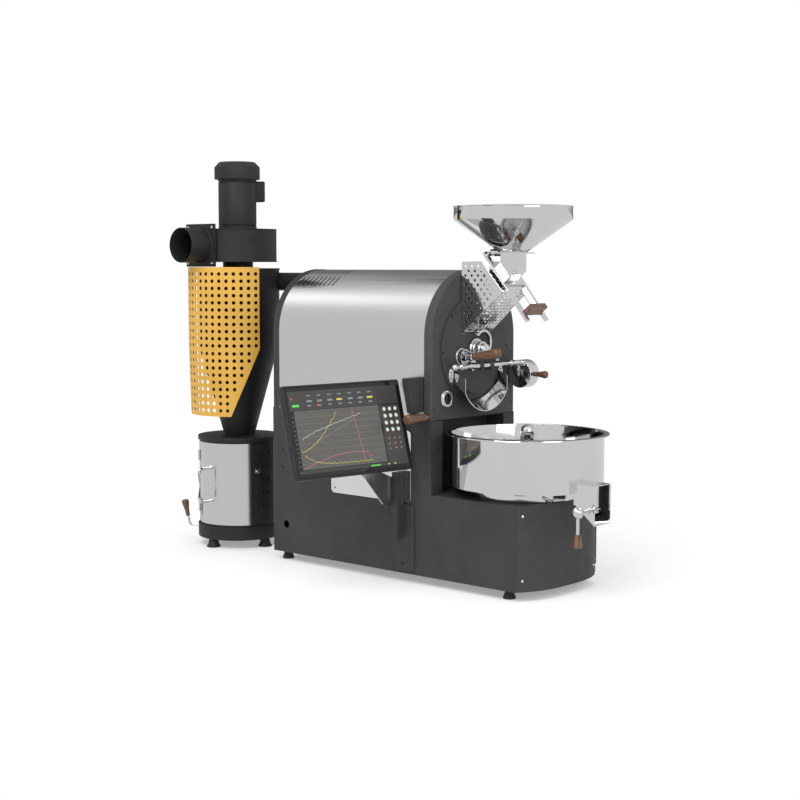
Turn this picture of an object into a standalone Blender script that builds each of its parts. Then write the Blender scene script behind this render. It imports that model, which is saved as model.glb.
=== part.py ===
"""Home coffee bean roaster: a drum roaster with a hopper, a cooling tray, a display and a cyclone.

The machine's front faces -Y and its long display side faces -X. The chaff cyclone stands behind it.
Everything is in metres. Each piece is its own object, placed at the point or axis that it moves on.
"""
import math

import bmesh
import bpy
from mathutils import Matrix, Vector

MM = 0.001

# Shared clearances and sheets
FIT = 0.3 * MM
OVERRUN = 5 * MM
SHEET = 2 * MM
THIN_SHEET = 1.5 * MM

# Machine body
BODY_WIDTH = 345 * MM
BODY_DEPTH = 579 * MM
BODY_TOP = 811 * MM
FOOT_HEIGHT = 24 * MM
DECK_HEIGHT = 237.5 * MM
COVER_BOTTOM = 428 * MM
COVER_BAND = 24 * MM
BASE_REACH = 270 * MM
BASE_BOW = 43 * MM
RECESS_HALF = 127.5 * MM
RECESS_DEPTH = 60 * MM

# Drum and its front plate
DRUM_HEIGHT = 603.5 * MM
DRUM_RADIUS = 110 * MM
DRUM_FRONT = 12 * MM
DRUM_LENGTH = 278 * MM
PLATE_RADIUS = 137 * MM
PLATE_PROUD = 4 * MM
PLATE_THICKNESS = 12 * MM

# Cooling tray
TRAY_FORWARD = 174.8 * MM
TRAY_RADIUS = 195.3 * MM
TRAY_RIM_RADIUS = 208.6 * MM
TRAY_TOP = 399.5 * MM
TRAY_BOTTOM = 270 * MM

# Hopper and feed gate
HOPPER_FORWARD = 125 * MM
HOPPER_RADIUS = 152.7 * MM
HOPPER_TOP = 970.5 * MM
HOPPER_BAND = 33.5 * MM
HOPPER_BOTTOM = 854.5 * MM
GATE_SLOPE = math.radians(51)
GATE_FORWARD = 108 * MM
GATE_HEIGHT = 799 * MM

# Cyclone and chaff collector
CYCLONE_SIDE = 62.7 * MM
CYCLONE_BACK = 839 * MM
CYCLONE_RADIUS = 121 * MM
CYCLONE_TOP = 813 * MM
CONE_TOP = 599 * MM
CONE_RADIUS = 45 * MM
LID_TOP = 317 * MM
LID_RADIUS = 122.3 * MM
COLLECTOR_RADIUS = 118.4 * MM
EXHAUST_SIDE = 29 * MM
EXHAUST_HEIGHT = 774 * MM
EXHAUST_RADIUS = 26.5 * MM

# Display
SCREEN_WIDTH = 368 * MM
SCREEN_HEIGHT = 233 * MM
SCREEN_THICKNESS = 28 * MM
SCREEN_PLACE = Vector((-376 * MM, 93 * MM, 419 * MM))
SCREEN_TURN = math.radians(-8.3)
SCREEN_LEAN = math.radians(15.5)

# Facet counts
FINE = 32
ROUND = 16
SMALL = 10
PIN = 6

# Worked out from the sizes above
HALF = BODY_WIDTH / 2
INNER = HALF - SHEET - FIT
ARCH_SPRING = BODY_TOP - HALF
PLATE_FACE = -PLATE_PROUD - FIT
SHELF_TOP = COVER_BOTTOM - FIT
CYCLONE = Vector((-CYCLONE_SIDE, CYCLONE_BACK, 0))
TRAY = Vector((0, -TRAY_FORWARD, 0))


# Looks: colour, roughness, metallic
BLACK_COAT = ("black_coat", (0.052, 0.052, 0.052), 0.55, 0.0)
DARK_COAT = ("dark_coat", (0.030, 0.030, 0.029), 0.6, 0.0)
YELLOW_COAT = ("yellow_coat", (0.78, 0.45, 0.09), 0.5, 0.0)
SATIN_STEEL = ("satin_steel", (0.60, 0.60, 0.60), 0.32, 1.0)
BRIGHT_STEEL = ("bright_steel", (0.74, 0.74, 0.74), 0.12, 1.0)
PLAIN_STEEL = ("plain_steel", (0.45, 0.45, 0.46), 0.45, 1.0)
CAST_IRON = ("cast_iron", (0.10, 0.10, 0.10), 0.6, 0.6)
WALNUT = ("walnut", (0.16, 0.085, 0.045), 0.5, 0.0)
RUBBER = ("rubber", (0.02, 0.02, 0.02), 0.8, 0.0)
GLASS_BLACK = ("glass_black", (0.02, 0.02, 0.022), 0.08, 0.0)


def material(look):
    """Return the material of a look, made on first use."""
    name, colour, roughness, metallic = look
    found = bpy.data.materials.get(name)
    if found:
        return found
    made = bpy.data.materials.new(name)
    made.use_nodes = True
    shader = made.node_tree.nodes["Principled BSDF"]
    shader.inputs["Base Color"].default_value = (*colour, 1)
    shader.inputs["Roughness"].default_value = roughness
    shader.inputs["Metallic"].default_value = metallic
    return made


# Shapes: each returns a closed bmesh in the assembly's frame
def tidy(shape):
    """Merge doubled points and turn the faces outwards."""
    bmesh.ops.remove_doubles(shape, verts=shape.verts[:], dist=0.01 * MM)
    bmesh.ops.recalc_face_normals(shape, faces=shape.faces[:])
    return shape


def box(x_range, y_range, z_range):
    """A box between two corners."""
    ranges = (x_range, y_range, z_range)
    sizes = [max(pair) - min(pair) for pair in ranges]
    middle = Vector([(pair[0] + pair[1]) / 2 for pair in ranges])
    shape = bmesh.new()
    bmesh.ops.create_cube(shape, size=1)
    bmesh.ops.scale(shape, vec=sizes, verts=shape.verts[:])
    bmesh.ops.translate(shape, vec=middle, verts=shape.verts[:])
    return shape


def prism(outline, axis, low, high):
    """An outline in the two other axes, carried along one axis."""
    def place(first, second, along):
        if axis == "X":
            return (along, first, second)
        if axis == "Y":
            return (first, along, second)
        return (first, second, along)

    shape = bmesh.new()
    ends = [[shape.verts.new(place(*point, along)) for point in outline] for along in (low, high)]
    count = len(outline)
    for end in ends:
        shape.faces.new(end)
    for index in range(count):
        after = (index + 1) % count
        shape.faces.new((ends[0][index], ends[0][after], ends[1][after], ends[1][index]))
    bmesh.ops.recalc_face_normals(shape, faces=shape.faces[:])
    return shape


def turned(profile, centre, steps, axis="Z"):
    """A closed profile of (radius, height) points turned about an axis through a centre."""
    shape = bmesh.new()
    points = [shape.verts.new((radius, 0, height)) for radius, height in profile]
    edges = [shape.edges.new((a, b)) for a, b in zip(points, points[1:] + points[:1])]
    bmesh.ops.spin(shape, geom=points + edges, cent=(0, 0, 0), axis=(0, 0, 1),
                   angle=math.tau, steps=steps, use_merge=True)
    turns = {"X": Matrix.Rotation(math.pi / 2, 4, "Y"),
             "Y": Matrix.Rotation(-math.pi / 2, 4, "X"),
             "Z": Matrix.Identity(4)}
    tidy(shape)
    loose = [edge for edge in shape.edges if not edge.link_faces]
    bmesh.ops.delete(shape, geom=loose, context="EDGES")
    bmesh.ops.transform(shape, matrix=Matrix.Translation(centre) @ turns[axis], verts=shape.verts[:])
    bmesh.ops.recalc_face_normals(shape, faces=shape.faces[:])
    return shape


def rod(start, end, radius, steps, end_radius=None):
    """A round bar between two points, tapered when its end radius differs."""
    start, end = Vector(start), Vector(end)
    span = end - start
    shape = bmesh.new()
    bmesh.ops.create_cone(shape, cap_ends=True, segments=steps, radius1=radius,
                          radius2=radius if end_radius is None else end_radius, depth=span.length)
    turn = span.to_track_quat("Z", "Y").to_matrix().to_4x4()
    bmesh.ops.transform(shape, matrix=Matrix.Translation((start + end) / 2) @ turn, verts=shape.verts[:])
    return shape


def loft(rings, loop=False):
    """Skin rings of equal point counts; the ends are capped, or joined when it loops."""
    shape = bmesh.new()
    made = [[shape.verts.new(point) for point in ring] for ring in rings]
    count = len(rings[0])
    pairs = list(zip(made, made[1:] + made[:1])) if loop else list(zip(made, made[1:]))
    for first, second in pairs:
        for index in range(count):
            after = (index + 1) % count
            shape.faces.new((first[index], first[after], second[after], second[index]))
    if not loop:
        shape.faces.new(made[0])
        shape.faces.new(made[-1])
    bmesh.ops.recalc_face_normals(shape, faces=shape.faces[:])
    return shape


def rings_along(path, radius, steps):
    """Rings of points square to a path."""
    path = [Vector(point) for point in path]
    rings = []
    for index, point in enumerate(path):
        before = path[max(index - 1, 0)]
        after = path[min(index + 1, len(path) - 1)]
        turn = (after - before).to_track_quat("Z", "X").to_matrix()
        rings.append([point + turn @ Vector((radius * math.cos(a), radius * math.sin(a), 0))
                      for a in angles(steps)])
    return rings


def swept(path, radius, steps):
    """A round bar along a path."""
    return loft(rings_along(path, radius, steps))


def angles(steps, start=0, span=math.tau):
    """Evenly spaced angles; a full turn leaves out its last one."""
    count = steps if span == math.tau else steps + 1
    return [start + span * index / steps for index in range(count)]


def circle(centre, radius, steps, start=0, span=math.tau):
    """Points on an arc in a plane."""
    return [(centre[0] + radius * math.cos(a), centre[1] + radius * math.sin(a))
            for a in angles(steps, start, span)]


def arch(half, bottom):
    """The body's outline: straight sides under a half round top."""
    return [(-half, bottom), (half, bottom)] + circle((0, ARCH_SPRING), half, ROUND, 0, math.pi)


def rounded(low, high, radius):
    """A rectangle with round corners."""
    steps = 4
    points = []
    corners = (((high[0], high[1]), 0), ((low[0], high[1]), 1), ((low[0], low[1]), 2), ((high[0], low[1]), 3))
    for corner, quarter in corners:
        centre = [value + radius * (1 if value == low[axis] else -1) for axis, value in enumerate(corner)]
        points += circle(centre, radius, steps, quarter * math.pi / 2, math.pi / 2)
    return points


def sector(centre, outer, inner, start, span, steps):
    """A curved strip seen from above."""
    return circle(centre, outer, steps, start, span) + circle(centre, inner, steps, start, span)[::-1]


def hull(points):
    """The outline of the smallest convex shape round some points."""
    points = sorted(set(points))
    def half_hull(run):
        chain = []
        for point in run:
            while len(chain) > 1 and cross(chain[-2], chain[-1], point) <= 0:
                chain.pop()
            chain.append(point)
        return chain[:-1]
    return half_hull(points) + half_hull(points[::-1])


def cross(origin, first, second):
    """Twice the signed area of a triangle."""
    return ((first[0] - origin[0]) * (second[1] - origin[1])
            - (first[1] - origin[1]) * (second[0] - origin[0]))


def moved(shape, matrix):
    """Place a shape by a matrix."""
    bmesh.ops.transform(shape, matrix=matrix, verts=shape.verts[:])
    return shape


def together(shapes):
    """Put shapes that don't touch into one bmesh."""
    joined = bmesh.new()
    for shape in shapes:
        mesh = bpy.data.meshes.new("part")
        shape.to_mesh(mesh)
        joined.from_mesh(mesh)
        bpy.data.meshes.remove(mesh)
        shape.free()
    return joined


# Pieces
def raw_object(name, shape):
    """An object straight from a bmesh."""
    mesh = bpy.data.meshes.new(name)
    shape.to_mesh(mesh)
    shape.free()
    piece = bpy.data.objects.new(name, mesh)
    bpy.context.scene.collection.objects.link(piece)
    return piece


def combine(piece, shape, operation):
    """Fuse a shape to a piece, or cut it away."""
    tool = raw_object("tool", shape)
    change = piece.modifiers.new(operation, "BOOLEAN")
    change.operation = operation
    change.object = tool
    graph = bpy.context.evaluated_depsgraph_get()
    result = bpy.data.meshes.new_from_object(piece.evaluated_get(graph))
    piece.modifiers.clear()
    old = piece.data
    piece.data = result
    bpy.data.meshes.remove(old)
    bpy.data.objects.remove(tool)


def make(name, look, shapes, holes=(), pivot=(0, 0, 0)):
    """Build one piece: the first shape, what is fused to it, and what is cut from it."""
    piece = raw_object(name, shapes[0])
    for shape in shapes[1:]:
        combine(piece, shape, "UNION")
    for hole in holes:
        combine(piece, hole, "DIFFERENCE")
    mesh = piece.data
    mesh.name = name
    mesh.transform(Matrix.Translation(-Vector(pivot)))
    piece.location = pivot
    mesh.materials.clear()
    mesh.materials.append(material(look))
    mesh.shade_smooth()
    mesh.set_sharp_from_angle(angle=math.radians(35))
    return piece


def wood_grip(name, start, end, neck, bulb, cut=()):
    """A turned walnut handle, wider towards its free end."""
    start, end = Vector(start), Vector(end)
    collar_share, shoulder_share = 0.12, 0.85
    along = end - start
    path = [start, start + along * collar_share, start + along * shoulder_share, end]
    radii = (neck, neck, bulb, bulb * shoulder_share)
    turn = along.to_track_quat("Z", "X").to_matrix()
    rings = [[point + turn @ Vector((radius * math.cos(a), radius * math.sin(a), 0)) for a in angles(PIN)]
             for point, radius in zip(path, radii)]
    return make(name, WALNUT, [loft(rings)], cut)


# Body
def bow(setback):
    """The bowed front edge of the base, seen from above, set back from its outer face."""
    steps = 12
    xs = [-INNER + 2 * INNER * index / steps for index in range(steps + 1)]
    return [(x, setback - BASE_REACH - BASE_BOW * (1 - (abs(x) / INNER) ** 3)) for x in xs]


def chassis():
    """Floor, rear wall and the shelf that carries the roasting drum, folded from one sheet."""
    plate = 3 * MM
    front = -BASE_REACH + SHEET + FIT
    back = BODY_DEPTH - SHEET - FIT
    floor = FOOT_HEIGHT + plate
    profile = [(front, FOOT_HEIGHT), (back, FOOT_HEIGHT), (back, SHELF_TOP), (0, SHELF_TOP),
               (0, SHELF_TOP - SHEET), (back - plate, SHELF_TOP - SHEET), (back - plate, floor), (front, floor)]
    make("chassis", DARK_COAT, [prism(profile, "X", -INNER, INNER)])


def side_panels():
    """The two L-shaped side panels; the left one has a cable hole and screw holes."""
    cable_hole = 11 * MM
    screw_hole = 2 * MM
    cable_place = (528.5 * MM, 103 * MM)
    screws = ((542 * MM, 311 * MM), (543 * MM, 262 * MM))
    profile = [(-BASE_REACH, FOOT_HEIGHT), (BODY_DEPTH, FOOT_HEIGHT), (BODY_DEPTH, SHELF_TOP),
               (0, SHELF_TOP), (0, DECK_HEIGHT), (-BASE_REACH, DECK_HEIGHT)]
    make("side_panel_right", BLACK_COAT, [prism(profile, "X", HALF - SHEET, HALF)])
    holes = [rod((-HALF - OVERRUN, y, z), (OVERRUN - HALF, y, z), radius, SMALL)
             for (y, z), radius in [(cable_place, cable_hole)] + [(screw, screw_hole) for screw in screws]]
    make("side_panel_left", BLACK_COAT, [prism(profile, "X", -HALF, SHEET - HALF)], holes)


def base_front_panel():
    """The bowed sheet that closes the front of the base."""
    outline = bow(0) + bow(SHEET)[::-1]
    make("base_front_panel", BLACK_COAT, [prism(outline, "Z", FOOT_HEIGHT, DECK_HEIGHT)])


def deck_panel():
    """The deck under the cooling tray, with the recess that rises behind it."""
    plenum_hole = 62 * MM
    back = RECESS_DEPTH + SHEET
    top = SHELF_TOP - SHEET - FIT
    plate = bow(SHEET + FIT) + [(INNER, back), (-INNER, back)]
    outer = [(-INNER, 0), (-RECESS_HALF, 0), (-RECESS_HALF, RECESS_DEPTH), (RECESS_HALF, RECESS_DEPTH),
             (RECESS_HALF, 0), (INNER, 0)]
    inner = [(INNER, SHEET), (RECESS_HALF + SHEET, SHEET), (RECESS_HALF + SHEET, back),
             (-RECESS_HALF - SHEET, back), (-RECESS_HALF - SHEET, SHEET), (-INNER, SHEET)]
    make("deck_panel", BLACK_COAT,
         [prism(plate, "Z", DECK_HEIGHT - SHEET, DECK_HEIGHT),
          prism(outer + inner, "Z", DECK_HEIGHT - SHEET / 2, top)],
         [rod((0, -TRAY_FORWARD, DECK_HEIGHT - OVERRUN), (0, -TRAY_FORWARD, DECK_HEIGHT + OVERRUN),
              plenum_hole, ROUND)])


def front_cover():
    """The arched front cover, with the drum opening, the flame port and the damper hole."""
    drum_hole = PLATE_RADIUS - 16.5 * MM
    inside = arch(HALF - SHEET, COVER_BOTTOM - OVERRUN)
    port = rod((SIGHT_PLACE[0], -OVERRUN, SIGHT_PLACE[1]), (SIGHT_PLACE[0], OVERRUN, SIGHT_PLACE[1]),
               SIGHT_BORE, SMALL)
    damper = rod((-HALF - OVERRUN, DAMPER_BACK, DAMPER_HEIGHT), (OVERRUN - HALF, DAMPER_BACK, DAMPER_HEIGHT),
                 DAMPER_ROD + FIT, PIN)
    make("front_cover", BLACK_COAT, [prism(arch(HALF, COVER_BOTTOM), "Y", 0, COVER_BAND)],
         [prism(inside, "Y", SHEET, COVER_BAND + OVERRUN),
          rod((0, -OVERRUN, DRUM_HEIGHT), (0, OVERRUN, DRUM_HEIGHT), drum_hole, FINE), port, damper])


def rear_cover():
    """The arched rear cover, carried on down as a flat panel between the side panels."""
    start = BODY_DEPTH - COVER_BAND
    inside = arch(HALF - SHEET, COVER_BOTTOM - OVERRUN)
    pan = prism(arch(HALF, COVER_BOTTOM), "Y", start, BODY_DEPTH)
    panel = box((-INNER, INNER), (BODY_DEPTH - SHEET, BODY_DEPTH), (FOOT_HEIGHT, COVER_BOTTOM + OVERRUN))
    pipe = rod((EXHAUST_SIDE, start, EXHAUST_HEIGHT), (EXHAUST_SIDE, BODY_DEPTH + OVERRUN, EXHAUST_HEIGHT),
               EXHAUST_RADIUS + FIT, ROUND)
    hollow = prism(inside, "Y", start - OVERRUN, BODY_DEPTH - SHEET)
    make("rear_cover", BLACK_COAT, [pan], [hollow])
    piece = bpy.data.objects["rear_cover"]
    combine(piece, panel, "UNION")
    combine(piece, pipe, "DIFFERENCE")


def stainless_cover():
    """The arched stainless cover between the end covers, with rows of vent slots at its rear."""
    rim = HALF - 1 * MM
    slot_length = 30 * MM
    slot_width = 5 * MM
    slot_pitch = 13 * MM
    slot_rows = 3
    slots_in_row = 6
    row_pitch = 42 * MM
    first_row = BODY_DEPTH - COVER_BAND - 40 * MM
    outer = [(x * rim / HALF, z) for x, z in arch(HALF, COVER_BOTTOM)]
    inner = [(x * (rim - THIN_SHEET) / HALF, z - THIN_SHEET) for x, z in arch(HALF, COVER_BOTTOM)]
    cuts = []
    for row in range(slot_rows):
        for index in range(slots_in_row):
            x = (index - (slots_in_row - 1) / 2) * slot_pitch
            y = first_row - row * row_pitch
            cuts.append(box((x - slot_width / 2, x + slot_width / 2), (y - slot_length / 2, y + slot_length / 2),
                            (ARCH_SPRING, BODY_TOP + OVERRUN)))
    make("stainless_cover", SATIN_STEEL,
         [prism(outer, "Y", COVER_BAND + FIT, BODY_DEPTH - COVER_BAND - FIT)],
         [prism(inner, "Y", 0, BODY_DEPTH), together(cuts)])


# Drum group
SHAFT_RADIUS = 10 * MM
HOUSING_RADIUS = 126 * MM
HOUSING_REAR = 329 * MM
BEARING_RADIUS = 22 * MM
SHAFT_END = 352 * MM
FEED_HALF = 30 * MM
FEED_TOP = 733 * MM
FEED_FOOT = 665 * MM
DOOR_CENTRE = 585 * MM
DOOR_RADIUS = 97 * MM
DOOR_HALF = 84.5 * MM
DOOR_TOP = 553 * MM
HINGE_FORWARD = 40 * MM
HINGE_HEIGHT = 563 * MM
HINGE_ROD = 5 * MM
TRIER_SIDE = 60 * MM
TRIER_HEIGHT = 581 * MM
TRIER_TILT = math.radians(9)
TRIER_RADIUS = 8 * MM
SIGHT_PLACE = (-114.5 * MM, 480.5 * MM)
SIGHT_BORE = 14 * MM
DAMPER_BACK = 12 * MM
DAMPER_HEIGHT = 436.5 * MM
DAMPER_ROD = 4 * MM
TRIER_LINE = Vector((0, -math.cos(TRIER_TILT), math.sin(TRIER_TILT)))
TRIER_ROOT = Vector((-TRIER_SIDE, 0, TRIER_HEIGHT))
MOUNT_FACE = PLATE_FACE - FIT


def drum_housing():
    """The fixed jacket round the drum, on two saddles, with a rear wall and a smoke outlet."""
    saddle_half = 90 * MM
    saddle_width = 15 * MM
    saddle_top = 520 * MM
    saddles = (30 * MM, 290 * MM)
    wall = 4 * MM
    outlet_back = 240 * MM
    front = SHEET + 2.5 * MM
    bore = HOUSING_RADIUS - SHEET
    jacket = rod((0, front, DRUM_HEIGHT), (0, HOUSING_REAR, DRUM_HEIGHT), HOUSING_RADIUS, FINE)
    feet = [box((-saddle_half, saddle_half), (y, y + saddle_width), (COVER_BOTTOM, saddle_top)) for y in saddles]
    hollow = rod((0, -OVERRUN, DRUM_HEIGHT), (0, HOUSING_REAR - wall, DRUM_HEIGHT), bore, FINE)
    shaft = rod((0, 0, DRUM_HEIGHT), (0, HOUSING_REAR + OVERRUN, DRUM_HEIGHT), SHAFT_RADIUS + FIT, ROUND)
    outlet = rod((EXHAUST_SIDE, outlet_back, DRUM_HEIGHT), (EXHAUST_SIDE, outlet_back, BODY_TOP),
                 EXHAUST_RADIUS - SHEET, ROUND)
    make("drum_housing", PLAIN_STEEL, [jacket] + feet, [hollow, shaft, outlet])


def drum_front_plate():
    """The cast front plate, with the feed, discharge and trier openings and the trier's guide ring."""
    boss = PLATE_RADIUS - 17 * MM
    opening_radius = DOOR_RADIUS - 7 * MM
    opening_top = DOOR_TOP - 5 * MM
    feed_wall = 2 * MM
    ring_radius = 20 * MM
    ring_wall = 2 * MM
    ring_reach = 16 * MM
    bolt_circle = 131 * MM
    bolt_hole = 3 * MM
    bolts = 4
    back = PLATE_THICKNESS - PLATE_PROUD
    profile = [(SHAFT_RADIUS + FIT, PLATE_FACE), (PLATE_RADIUS, PLATE_FACE), (PLATE_RADIUS, -FIT),
               (boss, -FIT), (boss, back), (SHAFT_RADIUS + FIT, back)]
    ring_place = (-TRIER_SIDE, 0, TRIER_HEIGHT)
    ring = turned([(ring_radius, PLATE_FACE - ring_reach), (ring_radius, PLATE_FACE / 2),
                   (ring_radius - ring_wall, PLATE_FACE / 2), (ring_radius - ring_wall, PLATE_FACE - ring_reach)],
                  ring_place, ROUND, "Y")
    discharge = [(x, z) for x, z in circle((0, DOOR_CENTRE), opening_radius, ROUND) if z < opening_top]
    chord = math.sqrt(opening_radius ** 2 - (DOOR_CENTRE - opening_top) ** 2)
    discharge = [(-chord, opening_top)] + discharge + [(chord, opening_top)]
    feed = box((feed_wall - FEED_HALF, FEED_HALF - feed_wall), (-PLATE_THICKNESS, PLATE_THICKNESS),
               (FEED_FOOT + feed_wall, DRUM_HEIGHT + boss - feed_wall))
    bore = rod(TRIER_ROOT - TRIER_LINE * PLATE_THICKNESS * 2, TRIER_ROOT + TRIER_LINE * PLATE_THICKNESS * 2,
               TRIER_RADIUS + FIT, SMALL)
    holes = [rod((bolt_circle * math.cos(a), -PLATE_THICKNESS, DRUM_HEIGHT + bolt_circle * math.sin(a)),
                 (bolt_circle * math.cos(a), PLATE_THICKNESS, DRUM_HEIGHT + bolt_circle * math.sin(a)),
                 bolt_hole, PIN) for a in angles(bolts)]
    make("drum_front_plate", CAST_IRON, [turned(profile, (0, 0, DRUM_HEIGHT), FINE, "Y"), ring],
         [prism(discharge, "Y", -PLATE_THICKNESS, PLATE_THICKNESS), feed, bore, together(holes)])


def chute_ring(forward, centre, radius, half, top):
    """One open U-shaped section of the discharge chute, as a closed outline of its sheet."""
    steps = 14
    edge = math.asin(half / radius)
    outline = []
    for reach, side in ((radius, 1), (radius - SHEET, -1)):
        run = [(reach * math.sin(a), centre - reach * math.cos(a))
               for a in [edge * (2 * index / steps - 1) for index in range(steps + 1)]]
        limit = half - (radius - reach)
        run = [(-limit, top)] + [(max(-limit, min(limit, x)), z) for x, z in run] + [(limit, top)]
        outline += run[::side]
    return [(x, -forward, z) for x, z in outline]


def discharge_chute():
    """The open chrome chute under the drum door, narrowing and dropping towards the tray."""
    reach = 42.5 * MM
    root = (-MOUNT_FACE, DOOR_CENTRE, 110 * MM, 90.5 * MM, 548 * MM)
    lip = (reach, 546 * MM, 102 * MM, 88 * MM, 533 * MM)
    make("discharge_chute", BRIGHT_STEEL, [loft([chute_ring(*root), chute_ring(*lip)])])


def discharge_door():
    """The half-round door over the discharge opening, hung from the hinge rod by two ears."""
    thickness = 8 * MM
    ear_width = 6 * MM
    ear_side = 18 * MM
    ear_radius = 9 * MM
    ear_foot = 12 * MM
    face = MOUNT_FACE - thickness
    arc = [(max(-DOOR_HALF, min(DOOR_HALF, x)), z)
           for x, z in circle((0, DOOR_CENTRE), DOOR_RADIUS, ROUND) if z < DOOR_TOP]
    outline = [(-DOOR_HALF, DOOR_TOP)] + arc + [(DOOR_HALF, DOOR_TOP)]
    ear = hull(circle((-HINGE_FORWARD, HINGE_HEIGHT), ear_radius, PIN)
               + [(face, DOOR_TOP - ear_foot), (MOUNT_FACE, DOOR_TOP - ear_foot), (MOUNT_FACE, DOOR_TOP)])
    ears = [prism(ear, "X", x, x + ear_width) for x in (ear_side, -ear_side - ear_width)]
    hole = rod((-HALF, -HINGE_FORWARD, HINGE_HEIGHT), (HALF, -HINGE_FORWARD, HINGE_HEIGHT),
               HINGE_ROD + FIT, SMALL)
    make("discharge_door", CAST_IRON, [prism(outline, "Y", face, MOUNT_FACE)] + ears, [hole],
         (0, -HINGE_FORWARD, HINGE_HEIGHT))


def door_counterweight():
    """The hinge rod of the door, with a ball at one end and the round weight at the other."""
    knob = 9 * MM
    left = -128 * MM
    inner_face = 143 * MM
    outer_face = 181 * MM
    radius = 37.5 * MM
    drop = 30 * MM
    grip_neck = 9 * MM
    grip_length = 47 * MM
    axle = rod((left, -HINGE_FORWARD, HINGE_HEIGHT), (outer_face - SHEET, -HINGE_FORWARD, HINGE_HEIGHT),
               HINGE_ROD, SMALL)
    ball = bmesh.new()
    bmesh.ops.create_uvsphere(ball, u_segments=PIN, v_segments=PIN // 2, radius=knob)
    bmesh.ops.translate(ball, vec=(left, -HINGE_FORWARD, HINGE_HEIGHT), verts=ball.verts[:])
    weight = rod((inner_face, -HINGE_FORWARD, HINGE_HEIGHT - drop),
                 (outer_face, -HINGE_FORWARD, HINGE_HEIGHT - drop), radius, ROUND)
    make("door_counterweight", BRIGHT_STEEL, [axle, ball, weight], (), (0, -HINGE_FORWARD, HINGE_HEIGHT))
    middle = (inner_face + outer_face) / 2
    height = HINGE_HEIGHT - drop
    clearance = rod((inner_face - OVERRUN, -HINGE_FORWARD, height), (outer_face + OVERRUN, -HINGE_FORWARD, height),
                    radius + FIT, ROUND)
    wood_grip("door_grip", (middle, OVERRUN - HINGE_FORWARD - radius, height),
              (middle, -HINGE_FORWARD - radius - grip_length, height), grip_neck, grip_neck * 1.25, [clearance])


def hinge_brackets():
    """The two brackets on the front plate that carry the door's hinge rod."""
    side = 102.5 * MM
    foot_half = 10 * MM
    foot_height = 540 * MM
    foot_reach = 12.5 * MM
    tip = 6 * MM
    foot_thickness = 3.5 * MM
    arm = 8 * MM
    eye = 8.5 * MM
    for name, x in (("hinge_bracket_left", -side), ("hinge_bracket_right", side)):
        foot = hull(circle((x, foot_height), foot_half, SMALL)
                    + circle((x, foot_height - foot_reach), tip, SMALL)
                    + circle((x, foot_height + foot_reach), tip, SMALL))
        ear = hull(circle((-HINGE_FORWARD, HINGE_HEIGHT), eye, SMALL)
                   + [(MOUNT_FACE, foot_height + foot_reach), (MOUNT_FACE, foot_height - tip),
                      (MOUNT_FACE - foot_thickness, foot_height - tip)])
        bore = rod((-HALF, -HINGE_FORWARD, HINGE_HEIGHT), (HALF, -HINGE_FORWARD, HINGE_HEIGHT),
                   HINGE_ROD + FIT, SMALL)
        make(name, BRIGHT_STEEL, [prism(foot, "Y", MOUNT_FACE - foot_thickness, MOUNT_FACE),
                                  prism(ear, "X", x - arm / 2, x + arm / 2)], [bore])


def bearing_cap():
    """The chrome cap over the drum's front bearing."""
    flange = 28.5 * MM
    flange_thickness = 4 * MM
    cap = 17 * MM
    chamfer = 4 * MM
    front = -42 * MM
    profile = [(0, front), (cap - chamfer, front), (cap, front + chamfer), (cap, MOUNT_FACE - flange_thickness),
               (flange, MOUNT_FACE - flange_thickness), (flange, MOUNT_FACE), (0, MOUNT_FACE)]
    make("bearing_cap", BRIGHT_STEEL, [turned(profile, (0, 0, DRUM_HEIGHT), ROUND, "Y")])


def trier():
    """The sampling tube that slides out of the drum, and its wooden handle."""
    inside = 50 * MM
    collar_start = 40 * MM
    collar_end = 48 * MM
    collar = 11 * MM
    grip_end = 132 * MM
    neck = 10 * MM
    bulb = 12.5 * MM
    scoop = box((-TRIER_SIDE - collar, collar - TRIER_SIDE), (PLATE_THICKNESS, inside + collar),
                (TRIER_HEIGHT, TRIER_HEIGHT + collar))
    make("trier", BRIGHT_STEEL,
         [rod(TRIER_ROOT - TRIER_LINE * inside, TRIER_ROOT + TRIER_LINE * collar_end, TRIER_RADIUS, SMALL),
          rod(TRIER_ROOT + TRIER_LINE * collar_start, TRIER_ROOT + TRIER_LINE * collar_end, collar, SMALL)],
         [scoop], TRIER_ROOT)
    wood_grip("trier_grip", TRIER_ROOT + TRIER_LINE * (collar_end + FIT), TRIER_ROOT + TRIER_LINE * grip_end,
              neck, bulb)


def sight_port():
    """The chrome ring of the flame port in the front cover."""
    outer = 23 * MM
    reach = 8 * MM
    bevel = 3 * MM
    profile = [(SIGHT_BORE, -reach), (outer - bevel, -reach), (outer, bevel - reach), (outer, -FIT),
               (SIGHT_BORE, -FIT)]
    make("sight_port", BRIGHT_STEEL, [turned(profile, (SIGHT_PLACE[0], 0, SIGHT_PLACE[1]), ROUND, "Y")])


def damper():
    """The push-pull damper: a rod through the front cover's side, a blade inside and a wooden knob."""
    rod_end = -HALF - 9 * MM
    blade = 40 * MM
    blade_inner = -95 * MM
    blade_half = 4.5 * MM
    knob_length = 75 * MM
    neck = 9.5 * MM
    bulb = 12.5 * MM
    axis = (DAMPER_BACK, DAMPER_HEIGHT)
    make("damper_slide", PLAIN_STEEL,
         [rod((rod_end, *axis), (blade_inner, *axis), DAMPER_ROD, PIN),
          box((blade_inner - blade, blade_inner), (DAMPER_BACK - blade_half, DAMPER_BACK + blade_half),
              (DAMPER_HEIGHT - blade_half, DAMPER_HEIGHT + blade_half))], (), (-HALF, *axis))
    wood_grip("damper_knob", (rod_end - FIT, *axis), (rod_end - knob_length, *axis), neck, bulb)


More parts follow.
